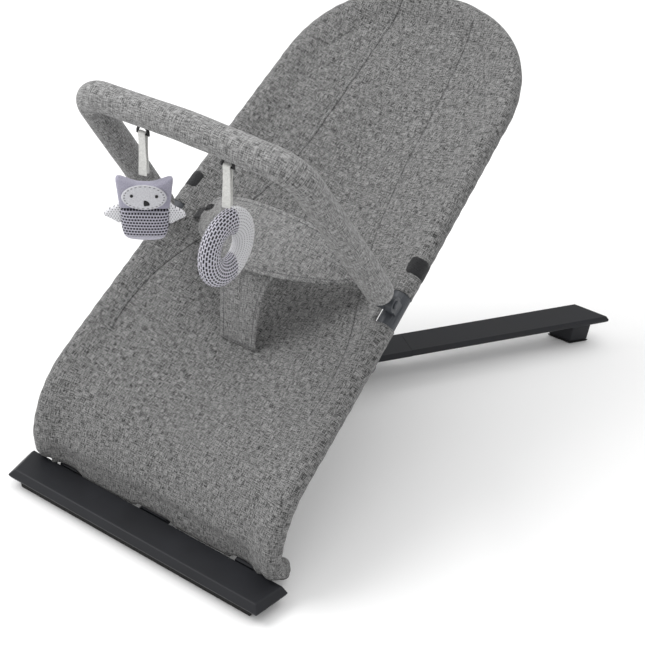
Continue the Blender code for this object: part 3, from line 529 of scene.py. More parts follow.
TWEED = tweed("tweed_seat", quilted=True)
TWEED_BAND = tweed("tweed_band", (0.050, 0.050, 0.050), (0.335, 0.334, 0.332), rims=True)
TWEED_BAR = tweed("tweed_bar", (0.060, 0.060, 0.060), (0.360, 0.359, 0.357))
CHARCOAL = moulded("charcoal_plastic", (0.008, 0.0085, 0.0105), (0.014, 0.015, 0.019), 0.50)
SLATE = moulded("slate_plastic", (0.045, 0.049, 0.056), (0.072, 0.077, 0.086), 0.42)
BLACK = moulded("black_plastic", (0.006, 0.006, 0.007), (0.014, 0.014, 0.015), 0.34)
STEEL = coated_steel()
RUBBER = rubber()
BLACK_WEB = webbing("black_webbing", (0.004, 0.004, 0.005), (0.026, 0.026, 0.028))
WHITE_TAPE = webbing("white_tape", (0.55, 0.55, 0.53), (0.90, 0.90, 0.87), 0.0012, 0.0010)
LAVENDER = plush("lavender_plush", (0.27, 0.26, 0.33), (0.44, 0.43, 0.51))
LAVENDER_MESH = plush("lavender_mesh", (0.36, 0.35, 0.42), (0.60, 0.59, 0.66), cells=(0.0037, 0.0041),
                      hem=-0.0755)
RING_MESH = plush("ring_mesh", (0.42, 0.41, 0.48), (0.70, 0.69, 0.75), cells=(0.0046, 0.0042),
                  polar=RING_MAJOR, spots=(0.0036, 0.0036))
DOTTED = plush("dotted_plush", (0.62, 0.62, 0.65), (0.82, 0.82, 0.84), spots=(0.0034, 0.0030))
STITCH = webbing("stitch_thread", (0.02, 0.02, 0.02), (0.07, 0.07, 0.07), 0.0008, 0.0005)


# ---------------------------------------------------------------- mesh tools

def new_object(name, mesh, material, place=None):
    obj = bpy.data.objects.new(name, mesh)
    bpy.context.scene.collection.objects.link(obj)
    mesh.materials.append(material)
    if place is not None:
        obj.matrix_world = place
    return obj


def grid(name, points, cloth, material, closed=(False, False), values=None, skip=None):
    """A sheet of quads. points and cloth are rows of the same length, cloth in metres."""
    rows = len(points)
    columns = len(points[0])
    flat = [point for row in points for point in row]
    flat_cloth = [point for row in cloth for point in row]
    faces = []
    corners = []
    for i in range(rows if closed[0] else rows - 1):
        for j in range(columns if closed[1] else columns - 1):
            if skip and skip(i, j):
                continue
            face = []
            places = []
            for di, dj in ((0, 0), (0, 1), (1, 1), (1, 0)):
                face.append((i + di) % rows * columns + (j + dj) % columns)
                places.append((i + di, j + dj))
            faces.append(face)
            corners.append(places)
    mesh = bpy.data.meshes.new(name)
    mesh.from_pydata(flat, [], faces)
    layer = mesh.uv_layers.new(name="cloth")
    wrap_u = 0.0
    wrap_v = 0.0
    if closed[1]:
        wrap_u = flat_cloth[columns - 1][0] + (flat_cloth[1][0] - flat_cloth[0][0]) - flat_cloth[0][0]
    if closed[0]:
        wrap_v = cloth[-1][0][1] + (cloth[1][0][1] - cloth[0][0][1]) - cloth[0][0][1]
    index = 0
    for face, places in zip(faces, corners):
        for vertex, (i, j) in zip(face, places):
            u, v = flat_cloth[vertex]
            u += wrap_u if j == columns else 0.0
            v += wrap_v if i == rows else 0.0
            layer.data[index].uv = (u, v)
            index += 1
    for key, table in (values or {}).items():
        data = mesh.attributes.new(key, "FLOAT", "POINT").data
        for vertex, value in enumerate(value for row in table for value in row):
            data[vertex].value = value
    mesh.shade_smooth()
    return new_object(name, mesh, material)


def surface(name, material, rows, columns, spot, closed=(False, False), keys=()):
    """A grid from a function that gives each row and column its point, cloth place and values."""
    table = [[spot(i, j) for j in range(columns)] for i in range(rows)]
    parts = [[[entry[index] for entry in row] for row in table] for index in range(2 + len(keys))]
    return grid(name, parts[0], parts[1], material, closed=closed, values=dict(zip(keys, parts[2:])))


def solidify(obj, thickness, offset=0.0, rim=True):
    modifier = obj.modifiers.new("thickness", "SOLIDIFY")
    modifier.thickness = thickness
    modifier.offset = offset
    modifier.use_rim = rim
    return obj


def subdivide(obj, levels=1):
    modifier = obj.modifiers.new("smooth", "SUBSURF")
    modifier.levels = levels
    modifier.render_levels = levels
    return obj


def apply_modifiers(obj):
    graph = bpy.context.evaluated_depsgraph_get()
    graph.update()
    mesh = bpy.data.meshes.new_from_object(obj.evaluated_get(graph), preserve_all_data_layers=True,
                                           depsgraph=graph)
    obj.modifiers.clear()
    obj.data = mesh
    return obj


def path_lengths(path):
    """How far along the path each of its points is."""
    lengths = [0.0]
    for before, after in zip(path, path[1:]):
        lengths.append(lengths[-1] + (after - before).length)
    return lengths


def path_frames(path):
    """A steady pair of side directions at each point of a path."""
    tangents = []
    for index in range(len(path)):
        before = path[max(index - 1, 0)]
        after = path[min(index + 1, len(path) - 1)]
        tangents.append((after - before).normalized())
    side = tangents[0].orthogonal().normalized()
    frames = []
    for tangent in tangents:
        side = (side - tangent * side.dot(tangent)).normalized()
        frames.append((side, tangent.cross(side)))
    return frames


def pipe(name, path, radius, material, around=12, capped=True):
    """A round piece along a path. radius is a number or a function of (length, angle)."""
    frames = path_frames(path)
    lengths = path_lengths(path)

    def spot(index, step):
        angle = 2 * math.pi * step / around
        reach = radius(lengths[index], angle) if callable(radius) else radius
        side, up = frames[index]
        point = path[index] + side * reach * math.cos(angle) + up * reach * math.sin(angle)
        return point, (angle * reach, lengths[index])

    obj = surface(name, material, len(path), around, spot, closed=(False, True))
    if capped:
        cap_ends(obj)
    return obj


def cap_ends(obj):
    data = bmesh.new()
    data.from_mesh(obj.data)
    open_edges = [edge for edge in data.edges if edge.is_boundary]
    bmesh.ops.holes_fill(data, edges=open_edges, sides=0)
    bmesh.ops.recalc_face_normals(data, faces=data.faces)
    data.to_mesh(obj.data)
    data.free()


def joined(name, pieces):
    """Several new pieces made one."""
    target = pieces[0]
    with bpy.context.temp_override(active_object=target, selected_editable_objects=pieces):
        bpy.ops.object.join()
    target.name = name
    return target


def frame_at(origin, across, up):
    """X and Y run along two directions, with Z square to both."""
    across = across.normalized()
    out = across.cross(up).normalized()
    up = out.cross(across)
    matrix = Matrix((across, up, out)).transposed().to_4x4()
    matrix.translation = origin
    return matrix


def place_on(obj, body, slot, *replaced):
    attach(obj, body)
    if replaced:
        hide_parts(*replaced)
    return obj


# ---------------------------------------------------------------- seat cover
WRAP_RADIUS = 0.0130
COVER_THICKNESS = 0.0014
WRAP_ANGLES = [math.radians(degrees) for degrees in range(-135, 91, 15)]
SHEET_STEPS = 34
HEM_ROLL = 0.0042
HEM_CORNER_DROP = 0.0060
HEM_TURN_S = -0.1610
SPINE_HOP = 0.0044
SPINE_HALF = 0.0270
SADDLE_X = 0.154
SADDLE_HALF = 0.0180
SADDLE_HOP = 0.0060
BAR_DEPTH = 0.055
BAR_TOP = 0.028
BAR_CLEAR = 0.0018
HINGE_Y = 0.086
HINGE_Z = 0.021
KNEE_Z = 0.040
KNEE_RADIUS = 0.0235
KNEE_TURN = math.radians(60)
TOE_S = -0.1332
CUFF_RADIUS = 0.0120
QUILT_START = 0.36


def seam_x(s):
    """Half the distance between the two long seams."""
    return catmull((0.150, 0.166, 0.160, 0.128, 0.096, 0.080, 0.073, 0.068, 0.060), (s + 0.02) / 0.74)


def cover_folds(x, s):
    """Soft rolls above the hem, a little slack beside the harness, and padding in the back."""
    rolls = 0.0026 * bump(-0.116, 0.009, s) + 0.0011 * bump(-0.084, 0.012, s)
    rolls -= 0.0024 * bump(-0.134, 0.006, s)
    wave = noise.noise(Vector((x * 9.0, s * 34.0, 0.7)))
    rolls *= 0.6 + 0.8 * wave
    slack = 0.0018 * noise.noise(Vector((x * 11.0, s * 9.0, 2.3)))
    drag = 0.0022 * noise.noise(Vector((x * 26.0, s * 4.0, 5.1)))
    drag *= smooth(0.0, 0.12, s) * smooth(0.42, 0.25, s)
    pads = 0.0
    if s > QUILT_START:
        for degrees in (0, 60, 120):
            turn = math.radians(degrees)
            pads += 0.00045 * math.cos(2 * math.pi * (x * math.sin(turn) + s * math.cos(turn)) / QUILT_PITCH)
        pads *= smooth(QUILT_START, QUILT_START + 0.05, s)
    seam = -0.0022 * bump(0.0, 0.0050, abs(x) - seam_x(s)) * smooth(0.05, 0.12, s)
    return rolls + slack + drag + pads + seam


def cover_lift(x, s, reach):
    """Height of the cloth over the tubes' plane, reach being the distance in from the tube."""
    leave = WRAP_RADIUS * (1 - smooth(0.0, 0.040, reach))
    return leave + sling_lift(x, s) + cover_folds(x, s) * smooth(0.004, 0.035, reach)


def wrap_radius(s, angle):
    """The sleeve's radius: it gathers slightly along the tube and is squarer below."""
    gather = 0.00028 * math.sin(s * 2 * math.pi / 0.0240 + 2.0 * noise.noise(Vector((s * 20, angle, 1.0))))
    return WRAP_RADIUS + gather + 0.0004 * noise.noise(Vector((s * 40, angle * 1.5, 9.0)))


def sleeve_part(s, side):
    """The columns of one row that go round the tube, from underneath to the top."""
    start = wrap_start(s)
    points = []
    for angle in WRAP_ANGLES:
        turned = max(angle, start)
        radius = wrap_radius(s, turned)
        flare = corner_flare(s, turned)
        x = tube_x(s) + radius * math.cos(turned) + flare
        arc = (math.pi / 2 - turned) * WRAP_RADIUS
        lift = radius * math.sin(turned) + hem_back(s) * smooth(-1.2, 1.4, turned)
        points.append((seat_point(side * x, s, lift), (side * (tube_x(s) + arc), s), arc))
    return points


def wrap_start(s):
    """The sleeve is cut open below at the stay's brackets, to let their ears through."""
    opening = bump(BRACKET_S, 0.022, s)
    return math.radians(-135) + math.radians(80) * smooth(0.25, 0.75, opening)


def corner_flare(s, angle):
    """The bottom corners of the cover stand a little away from the tubes."""
    return 0.0050 * smooth(-0.120, HEM_S, s) * smooth(math.radians(90), math.radians(-20), angle)


def cover_levels():
    count = 140
    start = HEM_TURN_S
    levels = [start + (HEAD_S - start) * index / count for index in range(count + 1)]
    return levels


def hop(x, s):
    """How much the hem rises to pass over the spine and the hinge saddles."""
    spine = SPINE_HOP * smooth(SPINE_HALF + 0.010, SPINE_HALF, abs(x))
    saddle = SADDLE_HOP * smooth(SADDLE_HALF + 0.008, SADDLE_HALF, abs(abs(x) - SADDLE_X))
    return max(spine, saddle) * smooth(-0.130, HEM_TURN_S, s)


def clear_of_bar(point):
    """Pushes a point out of the foot bar's back edge, up or back, whichever is nearer."""
    up = BAR_TOP + BAR_CLEAR - point.z
    back = at(0, BAR_DEPTH + BAR_CLEAR, 0).y - point.y
    if up > 0 and back > 0:
        return point + (Vector((0, 0, up)) if up < back else Vector((0, back, 0)))
    return point


def toe_warp(point, s):
    """Bends the cover's bottom corners back with the tubes."""
    below = TOE_S - s
    weight = smooth(TUBE_X_FRONT - 0.020, TUBE_X_FRONT - 0.006, abs(point.x))
    if below <= 0 or weight <= 0:
        return point
    turned = min(below / KNEE_RADIUS, KNEE_TURN)
    straight = below - turned * KNEE_RADIUS
    back = KNEE_RADIUS * (1 - math.cos(turned)) + straight * math.sin(turned)
    down = KNEE_RADIUS * math.sin(turned) + straight * math.cos(turned)
    middle = seat_point(point.x, TOE_S) + Vector((0, back, -down))
    offset = Matrix.Rotation(turned, 3, "X") @ (point - seat_point(point.x, s))
    return clear_of_bar(point.lerp(middle + offset, weight))


def half_row(s, side):
    """One side of a row: round the tube, then in across the sheet, not counting the middle."""
    row = sleeve_part(s, side)
    for index in range(1, SHEET_STEPS):
        share = 1 - index / SHEET_STEPS
        x = tube_x(s) * share
        level = s + hop(x, s)
        lift = cover_lift(x * side, level, tube_x(s) - x)
        row.append((seat_point(side * x, level, lift), (side * x, s), 0.0))
    return [(toe_warp(point, s), cloth, arc) for point, cloth, arc in row]


def full_row(s):
    left = half_row(s, -1)
    level = s + hop(0.0, s)
    middle = [(seat_point(0, level, cover_lift(0.0, level, tube_x(s))), (0.0, s), 0.0)]
    right = half_row(s, 1)
    return left + middle + right[::-1]


def hem_rows():
    """The lower edge turned back on itself around the hem rod."""
    base = full_row(HEM_TURN_S)
    rows = []
    for index in range(8, 0, -1):
        angle = math.pi * index / 8
        extra = 0.004 if index == 8 else 0.0
        row = []
        for point, (u, _), arc in base:
            inside = smooth(TUBE_X_FRONT + 0.004, TUBE_X_FRONT - 0.012, abs(point.x))
            back = HEM_ROLL * (1 - math.cos(angle)) * inside
            full = 1 - 1.3 * clamp(hop(point.x, HEM_TURN_S) / SPINE_HOP)
            corner = smooth(0.170, 0.182, abs(point.x)) * smooth(0.204, 0.192, abs(point.x))
            drop = HEM_ROLL * math.sin(angle) * inside * full + 0.003 * index / 8 * (1 - inside)
            drop += HEM_CORNER_DROP * corner * math.sin(min(angle, math.pi / 2))
            moved = Vector((point.x, point.y + back, point.z - drop + extra * inside))
            row.append((moved, (u, HEM_TURN_S - HEM_ROLL * angle), arc))
        rows.append(row)
    return rows


def build_cover():
    table = hem_rows()
    levels = cover_levels()
    for s in levels:
        table.append(full_row(s))
    points = [[entry[0] for entry in row] for row in table]
    cloth = [[entry[1] for entry in row] for row in table]
    wraps = [[entry[2] for entry in row] for row in table]

    def skip(i, j):
        s = (cloth[i][j][1] + cloth[i + 1][j][1]) / 2
        u = (abs(cloth[i][j][0]) + abs(cloth[i][j + 1][0])) / 2
        return abs(s - CLIP_S) < CLIP_CUT and u > tube_x(s) - CLIP_RADIUS

    body = grid("cover_body", points, cloth, TWEED, values=cover_values(cloth, wraps), skip=skip)
    head = build_head()
    cover = joined("seat_cover", [body, head])
    weld_cover(cover)
    solidify(cover, COVER_THICKNESS, 1.0)
    return cover


def cover_values(cloth, wraps):
    """What the cover's material reads: sleeve, quilting, and distance from the long seams."""
    table = {"edge": [], "quilt": [], "seam": [], "seam_on": []}
    for cloth_row, wrap_row in zip(cloth, wraps):
        rows = {key: [] for key in table}
        for (u, v), arc in zip(cloth_row, wrap_row):
            inward = edge_distance(u, v)
            rows["edge"].append(max(smooth(0.020, 0.004, inward), smooth(0.0, 0.004, arc)))
            quilt = smooth(QUILT_START, QUILT_START + 0.03, v) * smooth(0.010, 0.024, inward)
            rows["quilt"].append(quilt)
            rows["seam"].append(abs(u) - seam_x(v))
            rows["seam_on"].append(smooth(0.045, 0.075, v) * smooth(0.002, 0.010, inward))
        for key, row in rows.items():
            table[key].append(row)
    return table


def edge_distance(u, v):
    """How far a point of the cloth is in from the side tube."""
    if v <= HEAD_S:
        return max(tube_x(v) - abs(u), 0.0)
    reach = (abs(u / TUBE_X_HEAD) ** HEAD_POWER + abs((v - HEAD_S) / TUBE_X_HEAD) ** HEAD_POWER)
    return max(TUBE_X_HEAD * (1 - reach ** (1 / HEAD_POWER)), 0.0)


def build_head():
    """The round head end as a fan about the middle of its first row."""
    stations = 112
    points = []
    cloth = []
    wraps = []
    for index in range(stations + 1):
        angle = math.pi * index / stations
        x = math.copysign(abs(math.cos(angle)) ** (2 / HEAD_POWER), math.cos(angle)) * TUBE_X_HEAD
        s = HEAD_S + abs(math.sin(angle)) ** (2 / HEAD_POWER) * TUBE_X_HEAD
        if index in (0, stations):
            x = TUBE_X_HEAD if index == 0 else -TUBE_X_HEAD
            s = HEAD_S
        out_x = math.copysign(abs(x / TUBE_X_HEAD) ** (HEAD_POWER - 1), x)
        out_s = abs((s - HEAD_S) / TUBE_X_HEAD) ** (HEAD_POWER - 1)
        size = math.hypot(out_x, out_s)
        out_x /= size
        out_s /= size
        row = []
        marks = []
        arcs = []
        for turned in WRAP_ANGLES:
            radius = wrap_radius(s + x * 0.7 * (s > HEAD_S + 0.001), turned)
            if s <= HEAD_S + 0.0005:
                radius = wrap_radius(HEAD_S, turned)
            arc = (math.pi / 2 - turned) * WRAP_RADIUS
            reach = radius * math.cos(turned)
            row.append(seat_point(x + out_x * reach, s + out_s * reach, radius * math.sin(turned)))
            marks.append((x + out_x * arc, s + out_s * arc))
            arcs.append(arc)
        for ring in range(1, SHEET_STEPS + 1):
            share = 1 - ring / SHEET_STEPS
            px = x * share
            ps = HEAD_S + (s - HEAD_S) * share
            reach = math.hypot(x - px, s - ps)
            row.append(seat_point(px, ps, cover_lift(px, ps, reach)))
            marks.append((px, ps))
            arcs.append(0.0)
        points.append(row)
        cloth.append(marks)
        wraps.append(arcs)
    values = cover_values(cloth, wraps)
    return grid("cover_head", points, cloth, TWEED, values=values)


def weld_cover(cover):
    data = bmesh.new()
    data.from_mesh(cover.data)
    bmesh.ops.remove_doubles(data, verts=data.verts, dist=0.0001)
    bmesh.ops.dissolve_degenerate(data, edges=data.edges, dist=0.00005)
    loose = [vert for vert in data.verts if not vert.link_faces]
    bmesh.ops.delete(data, geom=loose, context="VERTS")
    bmesh.ops.recalc_face_normals(data, faces=data.faces)
    middle = min(data.faces, key=lambda face: (face.calc_center_median() - seat_point(0, 0.2, -0.03)).length)
    if middle.normal.z < 0:
        bmesh.ops.reverse_faces(data, faces=data.faces)
    data.to_mesh(cover.data)
    data.free()


cover = build_cover()
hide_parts("seat_sling", "back_sling")
seat_point(0, FLEX_S - 0.010)
seat_point(0, FLEX_S + 0.012)
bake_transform(cover)


def build_cuff(name, side):
    """The gathered lower end of the sleeve, which follows the tube round its toe."""
    front_y = side_line(HEM_S)[0]
    shin = at(side * TUBE_X_FRONT, front_y, 0.0580)
    knee = at(side * TUBE_X_FRONT, front_y, KNEE_Z)
    turn = at(side * TUBE_X_FRONT, HINGE_Y, HINGE_Z)
    stub = at(side * 0.150, HINGE_Y, HINGE_Z)
    whole = spread(rounded_path([shin, knee, turn, stub], (KNEE_RADIUS, 0.0112)), 0.0020)
    path = [point for point in whole if abs(point.x) > TUBE_X_FRONT - 0.0075]
    total = sum((after - before).length for before, after in zip(path, path[1:]))

    def reach(length, angle):
        flare = 0.0014 * smooth(total - 0.012, total, length)
        gather = 0.0005 * math.sin(length * 2 * math.pi / 0.0085 + 2.0 * math.sin(angle))
        return CUFF_RADIUS + flare + gather * smooth(0.0, 0.010, length)

    cuff = pipe(name, path, reach, TWEED, around=36, capped=False)
    for vert in cuff.data.vertices:
        vert.co = clear_of_bar(vert.co)
    solidify(cuff, 0.0012, -1.0)
    return apply_modifiers(cuff)


for name, side in SIDES:
    cuff = place_on(build_cuff("cover_cuff_" + name, side), "seat_frame", "tweed_fabric")


# ---------------------------------------------------------------- webbing, clips

def webbing_loop(name, side):
    """The strap that is sewn round the tube, over the cover, with rolled edges."""
    step = 0.004
    around = 40
    profile = [(-0.5, 0.0128), (-0.5, 0.0138), (-0.47, 0.0143), (-0.30, 0.0145), (0.0, 0.0144),
               (0.30, 0.0145), (0.47, 0.0143), (0.5, 0.0138), (0.5, 0.0128)]

    def spot(index, turn):
        share, radius = profile[index]
        s = STRAP_S + share * STRAP_LENGTH
        centre = seat_point(side * tube_x(s), s)
        along = (seat_point(side * tube_x(s + step), s + step) - centre).normalized()
        out = Vector((side, 0, 0))
        out = (out - along * out.dot(along)).normalized()
        up = out.cross(along) * side
        angle = 2 * math.pi * turn / around
        inward = smooth(-0.2, -1.0, math.cos(angle)) * 0.0012
        reach = radius + inward + 0.00015 * math.sin(angle * 9 + share * 5)
        point = centre + out * reach * math.cos(angle) + up * reach * math.sin(angle)
        return point, (share * STRAP_LENGTH, angle * radius)

    loop = surface(name, BLACK_WEB, len(profile), around, spot, closed=(False, True))
    subdivide(solidify(loop, 0.0009, 0.0))
    return apply_modifiers(loop)


def ridge_radius(length, _angle):
    """A rib that runs out at both ends."""
    return 0.0016 * math.sqrt(max(1 - (2 * length / 0.047 - 1) ** 6, 0.02))


def clip_ridges(name, side):
    """Two raised ribs along the outside of the toy bar's clip, and the parting line between."""
    pieces = []
    for degrees in (28, 62):
        path = []
        for index in range(13):
            share = index / 12 - 0.5
            s = CLIP_S + share * 0.047
            centre = seat_point(side * tube_x(s), s)
            angle = math.radians(degrees)
            reach = CLIP_RADIUS - 0.0008
            path.append(centre + Vector((side * reach * math.cos(angle), 0, 0))
                        + (seat_point(0, s, 1.0) - seat_point(0, s, 0.0)) * reach * math.sin(angle))
        pieces.append(pipe(name + str(degrees), path, ridge_radius, SLATE, around=12))
    return joined(name, pieces)


for name, side in SIDES:
    place_on(webbing_loop("webbing_loop_" + name, side), "seat_frame", "webbing", "frame_strap_" + name)
    place_on(clip_ridges("clip_ridges_" + name, side), "seat_frame", "clip_plastic")


# ---------------------------------------------------------------- harness

def band_lift(x):
    return BAND_END_LIFT + (BAND_LIFT - BAND_END_LIFT) * (1 - (abs(x) / BAND_HALF) ** 2.4)


def band_edges(x):
    """Lower and upper edge of the band, with round ends."""
    out = abs(x) / BAND_HALF
    low = BAND_LOW + (BAND_END_LOW - BAND_LOW) * out ** 2
    start = 0.80
    if out > start:
        pinch = 0.5 * (1 - math.sqrt(max(1 - ((out - start) / (1 - start)) ** 2, 0.0)))
    else:
        pinch = 0.0
    width = BAND_TOP - low
    return low + pinch * width * 0.92, BAND_TOP - pinch * width * 0.92


def build_band():
    """The padded waist band, thin at its stitched edges."""
    columns = 120
    steps = 28
    points = []
    cloth = []
    rim = []
    for step in range(steps + 1):
        share = 0.5 - 0.5 * math.cos(math.pi * step / steps)
        row = []
        marks = []
        distances = []
        for index in range(columns + 1):
            x = BAND_HALF * math.sin(math.pi / 2 * (2 * index / columns - 1))
            low, high = band_edges(x)
            s = low + (high - low) * share
            edge = min(s - low, high - s, (BAND_HALF - abs(x)) * 1.0)
            crease = 0.0011 * noise.noise(Vector((x * 30, s * 24, 4.0)))
            crease += 0.0016 * noise.noise(Vector((x * 14, s * 60, 8.0))) * smooth(0.07, 0.11, abs(x))
            row.append(seat_point(x, s, band_lift(x) + crease))
            marks.append((x * 1.12, s))
            distances.append(max(edge, 0.0))
        points.append(row)
        cloth.append(marks)
        rim.append(distances)
    band = grid("harness_band", points, cloth, TWEED_BAND, values={"rim": rim})
    swell(band, rim, 0.0030)
    return band


def swell(obj, rim, thickness):
    """Gives a panel its thickness: full in the middle, a thin rounded edge all round."""
    group = obj.vertex_groups.new(name="padding")
    for vertex, distance in enumerate(value for row in rim for value in row):
        full = math.sqrt(clamp(distance / 0.0045)) * (1 - 0.35 * bump(STITCH_INSET, 0.0016, distance))
        group.add([vertex], max(full, 0.12), "REPLACE")
    modifier = obj.modifiers.new("padding", "SOLIDIFY")
    modifier.thickness = thickness * 1.25
    modifier.offset = 0.0
    modifier.vertex_group = "padding"
    apply_modifiers(obj)


def build_crotch():
    """The piece between the legs, pinched to a fold along its middle."""
    steps = 34
    columns = 40
    foot_s = 0.128
    points = []
    cloth = []
    rim = []
    length = 0.0
    for index in range(steps + 1):
        share = index / steps
        s = foot_s + (0.222 - foot_s) * share
        rise = math.sin(math.pi / 2 * share)
        half = 0.030 + 0.020 * share ** 2
        row = []
        marks = []
        distances = []
        for column in range(columns + 1):
            x = half * (2 * column / columns - 1)
            low = sling_lift(x, s) + 0.0048
            high = band_lift(x) - 0.0060
            fold = -0.0042 * bump(0.002, 0.0042, x) * smooth(0.0, 0.3, share)
            fold += 0.0016 * bump(0.013, 0.007, x) - 0.0012 * bump(-0.016, 0.008, x)
            lift = low + (high - low) * rise + fold * (0.4 + 0.6 * share)
            row.append(seat_point(x, s, lift + 0.0006 * noise.noise(Vector((x * 50, s * 40, 3.0)))))
            distances.append(min(half - abs(x), (1 - share) * 0.12 + 0.004, share * 0.12 + 0.004))
        if index:
            length += (row[columns // 2] - points[-1][columns // 2]).length
        marks = [(point.x, length) for point in row]
        points.append(row)
        cloth.append(marks)
        rim.append(distances)
    panel = grid("crotch_panel", points, cloth, TWEED_BAND, values={"rim": rim})
    swell(panel, rim, 0.0030)
    return panel


def build_elastic(name, side):
    """Wide elastic from the side of the seat to the tab, a little crumpled."""
    width = 0.018
    length = 0.062
    steps = 24
    foot = Vector((0.158, sling_lift(0.158, TAB_S) + 0.0032))
    top = Vector((TAB_X, band_lift(TAB_X) - 0.0120))

    def spot(index, column):
        share = index / steps
        edge = column / 4 - 1
        x, lift = foot.lerp(top, share)
        bow = 0.002 * math.sin(math.pi * share)
        ripple = 0.0007 * math.sin(share * 21 + edge * 1.3) * math.sin(math.pi * share)
        point = seat_point(side * (x + bow), TAB_S + edge * width / 2, lift + ripple)
        return point, (edge * width / 2, share * length)

    return apply_modifiers(solidify(surface(name, BLACK_WEB, steps + 1, 9, spot), 0.0013))


def tab_frame(side):
    """A frame on the band's end: X along the band, Y up the seat, Z out of the cloth."""
    step = 0.004
    centre = seat_point(side * TAB_X, TAB_S, band_lift(TAB_X))
    outward = seat_point(side * (TAB_X + step), TAB_S, band_lift(TAB_X + step)) - centre
    upward = seat_point(side * TAB_X, TAB_S + step, band_lift(TAB_X)) - centre
    return frame_at(centre, outward, upward)


def build_slot_rim(name, side):
    """The sewn rim around the slot in the tab."""
    place = tab_frame(side)
    face = 1 if place.col[2].z > 0 else -1
    path = []
    for index in range(33):
        angle = 2 * math.pi * index / 32
        x = 0.0122 * math.copysign(abs(math.cos(angle)) ** 0.8, math.cos(angle))
        y = 0.0048 * math.copysign(abs(math.sin(angle)) ** 0.8, math.sin(angle))
        path.append(place @ Vector((x, y, face * 0.0018)))
    return pipe(name, path, 0.0011, STITCH, around=8, capped=False)


def build_gathers(name, side):
    """Crumpled elastic that shows in the slot, over the button."""
    place = tab_frame(side)
    face = 1 if place.col[2].z > 0 else -1
    pieces = []
    for strand in range(3):
        path = []
        for index in range(19):
            share = index / 18
            x = 0.0108 * (2 * share - 1)
            y = 0.0023 * (strand - 1) + 0.0006 * math.sin(share * 17 + strand * 2.1)
            arch = math.sin(math.pi * share)
            z = 0.0020 + 0.0018 * arch + 0.0005 * math.sin(share * 23 + strand)
            path.append(place @ Vector((x, y, face * z)))
        pieces.append(pipe(name + str(strand), path, 0.0015, BLACK_WEB, around=10))
    return joined(name, pieces)


band = build_band()
place_on(band, "seat_frame", "tweed_fabric", "waist_band")
crotch = build_crotch()
place_on(crotch, "seat_frame", "tweed_fabric", "crotch_piece")
for name, side in SIDES:
    place_on(build_elastic("elastic_strap_" + name, side), "seat_frame", "webbing", "harness_strap_" + name)
    place_on(build_slot_rim("slot_rim_" + name, side), "seat_frame", "webbing")
    place_on(build_gathers("slot_gathers_" + name, side), "seat_frame", "webbing")


# ---------------------------------------------------------------- toy bar

def toy_bar_path():
    corners = [(-TOY_END_X, 0.0440), (-TOY_END_X, 0.0600), (-TOY_END_X + 0.003, 0.105),
               (-TOY_CORNER_X[-1], TOY_CORNER[-1]), (0.0, TOY_TOP), (TOY_CORNER_X[1], TOY_CORNER[1]),
               (TOY_END_X - 0.003, 0.105), (TOY_END_X, 0.0600), (TOY_END_X, 0.0440)]
    points = [toy_point(x, height) for x, height in corners]
    ends = points[1:-1]
    return spread([points[0]] + rounded_path(ends, (0.30, 0.042, 0.60, 0.042, 0.30)) + [points[-1]], 0.0035)


def build_bar_padding():
    """The padded sleeve of the toy bar, creased inside its corners and closed at the ends."""
    path = toy_bar_path()
    lengths = path_lengths(path)
    centre = sum(path, Vector()) / len(path)
    corners = [toy_point(side * TOY_CORNER_X[side], TOY_CORNER[side]) for side in (-1, 1)]
    corner_at = [min(zip(path, lengths), key=lambda entry: (entry[0] - corner).length)[1]
                 for corner in corners]
    normal = (toy_point(0, 0, 1.0) - toy_point(0, 0, 0.0)).normalized()
    around = 40

    def spot(index, step):
        point = path[index]
        length = lengths[index]
        along = (path[min(index + 1, len(path) - 1)] - path[max(index - 1, 0)]).normalized()
        inward = normal.cross(along).normalized()
        if inward.dot(centre - point) < 0:
            inward = -inward
        angle = 2 * math.pi * step / around
        radius = TOY_COVER_RADIUS
        for corner in corner_at:
            near = bump(corner, 0.022, length)
            ripple = math.sin((length - corner) * 2 * math.pi / 0.0135)
            radius -= 0.0011 * near * max(math.cos(angle), 0.0) ** 1.5 * (0.9 + ripple)
        place = Vector((length * 28, math.cos(angle) * 1.3, math.sin(angle) * 1.3))
        radius += 0.0006 * noise.noise(place)
        radius -= 0.0011 * bump(0.0, 0.10, math.remainder(angle - math.radians(42), 2 * math.pi))
        end = min(length, lengths[-1] - length)
        radius *= 1 - 0.30 * smooth(0.010, 0.0, end) ** 2
        point = point + inward * radius * math.cos(angle) + normal * radius * math.sin(angle)
        return point, (angle * TOY_COVER_RADIUS, length)

    padding = surface("bar_padding", TWEED_BAR, len(path), around, spot, closed=(False, True))
    return apply_modifiers(subdivide(solidify(padding, 0.0040, -1.0)))


def bar_bottom(x):
    side = 1 if x > 0 else -1
    share = abs(x) / TOY_CORNER_X[side]
    centre = toy_point(x, TOY_TOP - (TOY_TOP - TOY_CORNER[side]) * share - 0.0003)
    return centre - Vector((0, 0, TOY_COVER_RADIUS))


def hook_axis(toy):
    return bar_bottom(TOY_HANG_X[toy]) - Vector((0, 0, HOOK_GAP + HOOK_WIRE + HOOK_DROP))


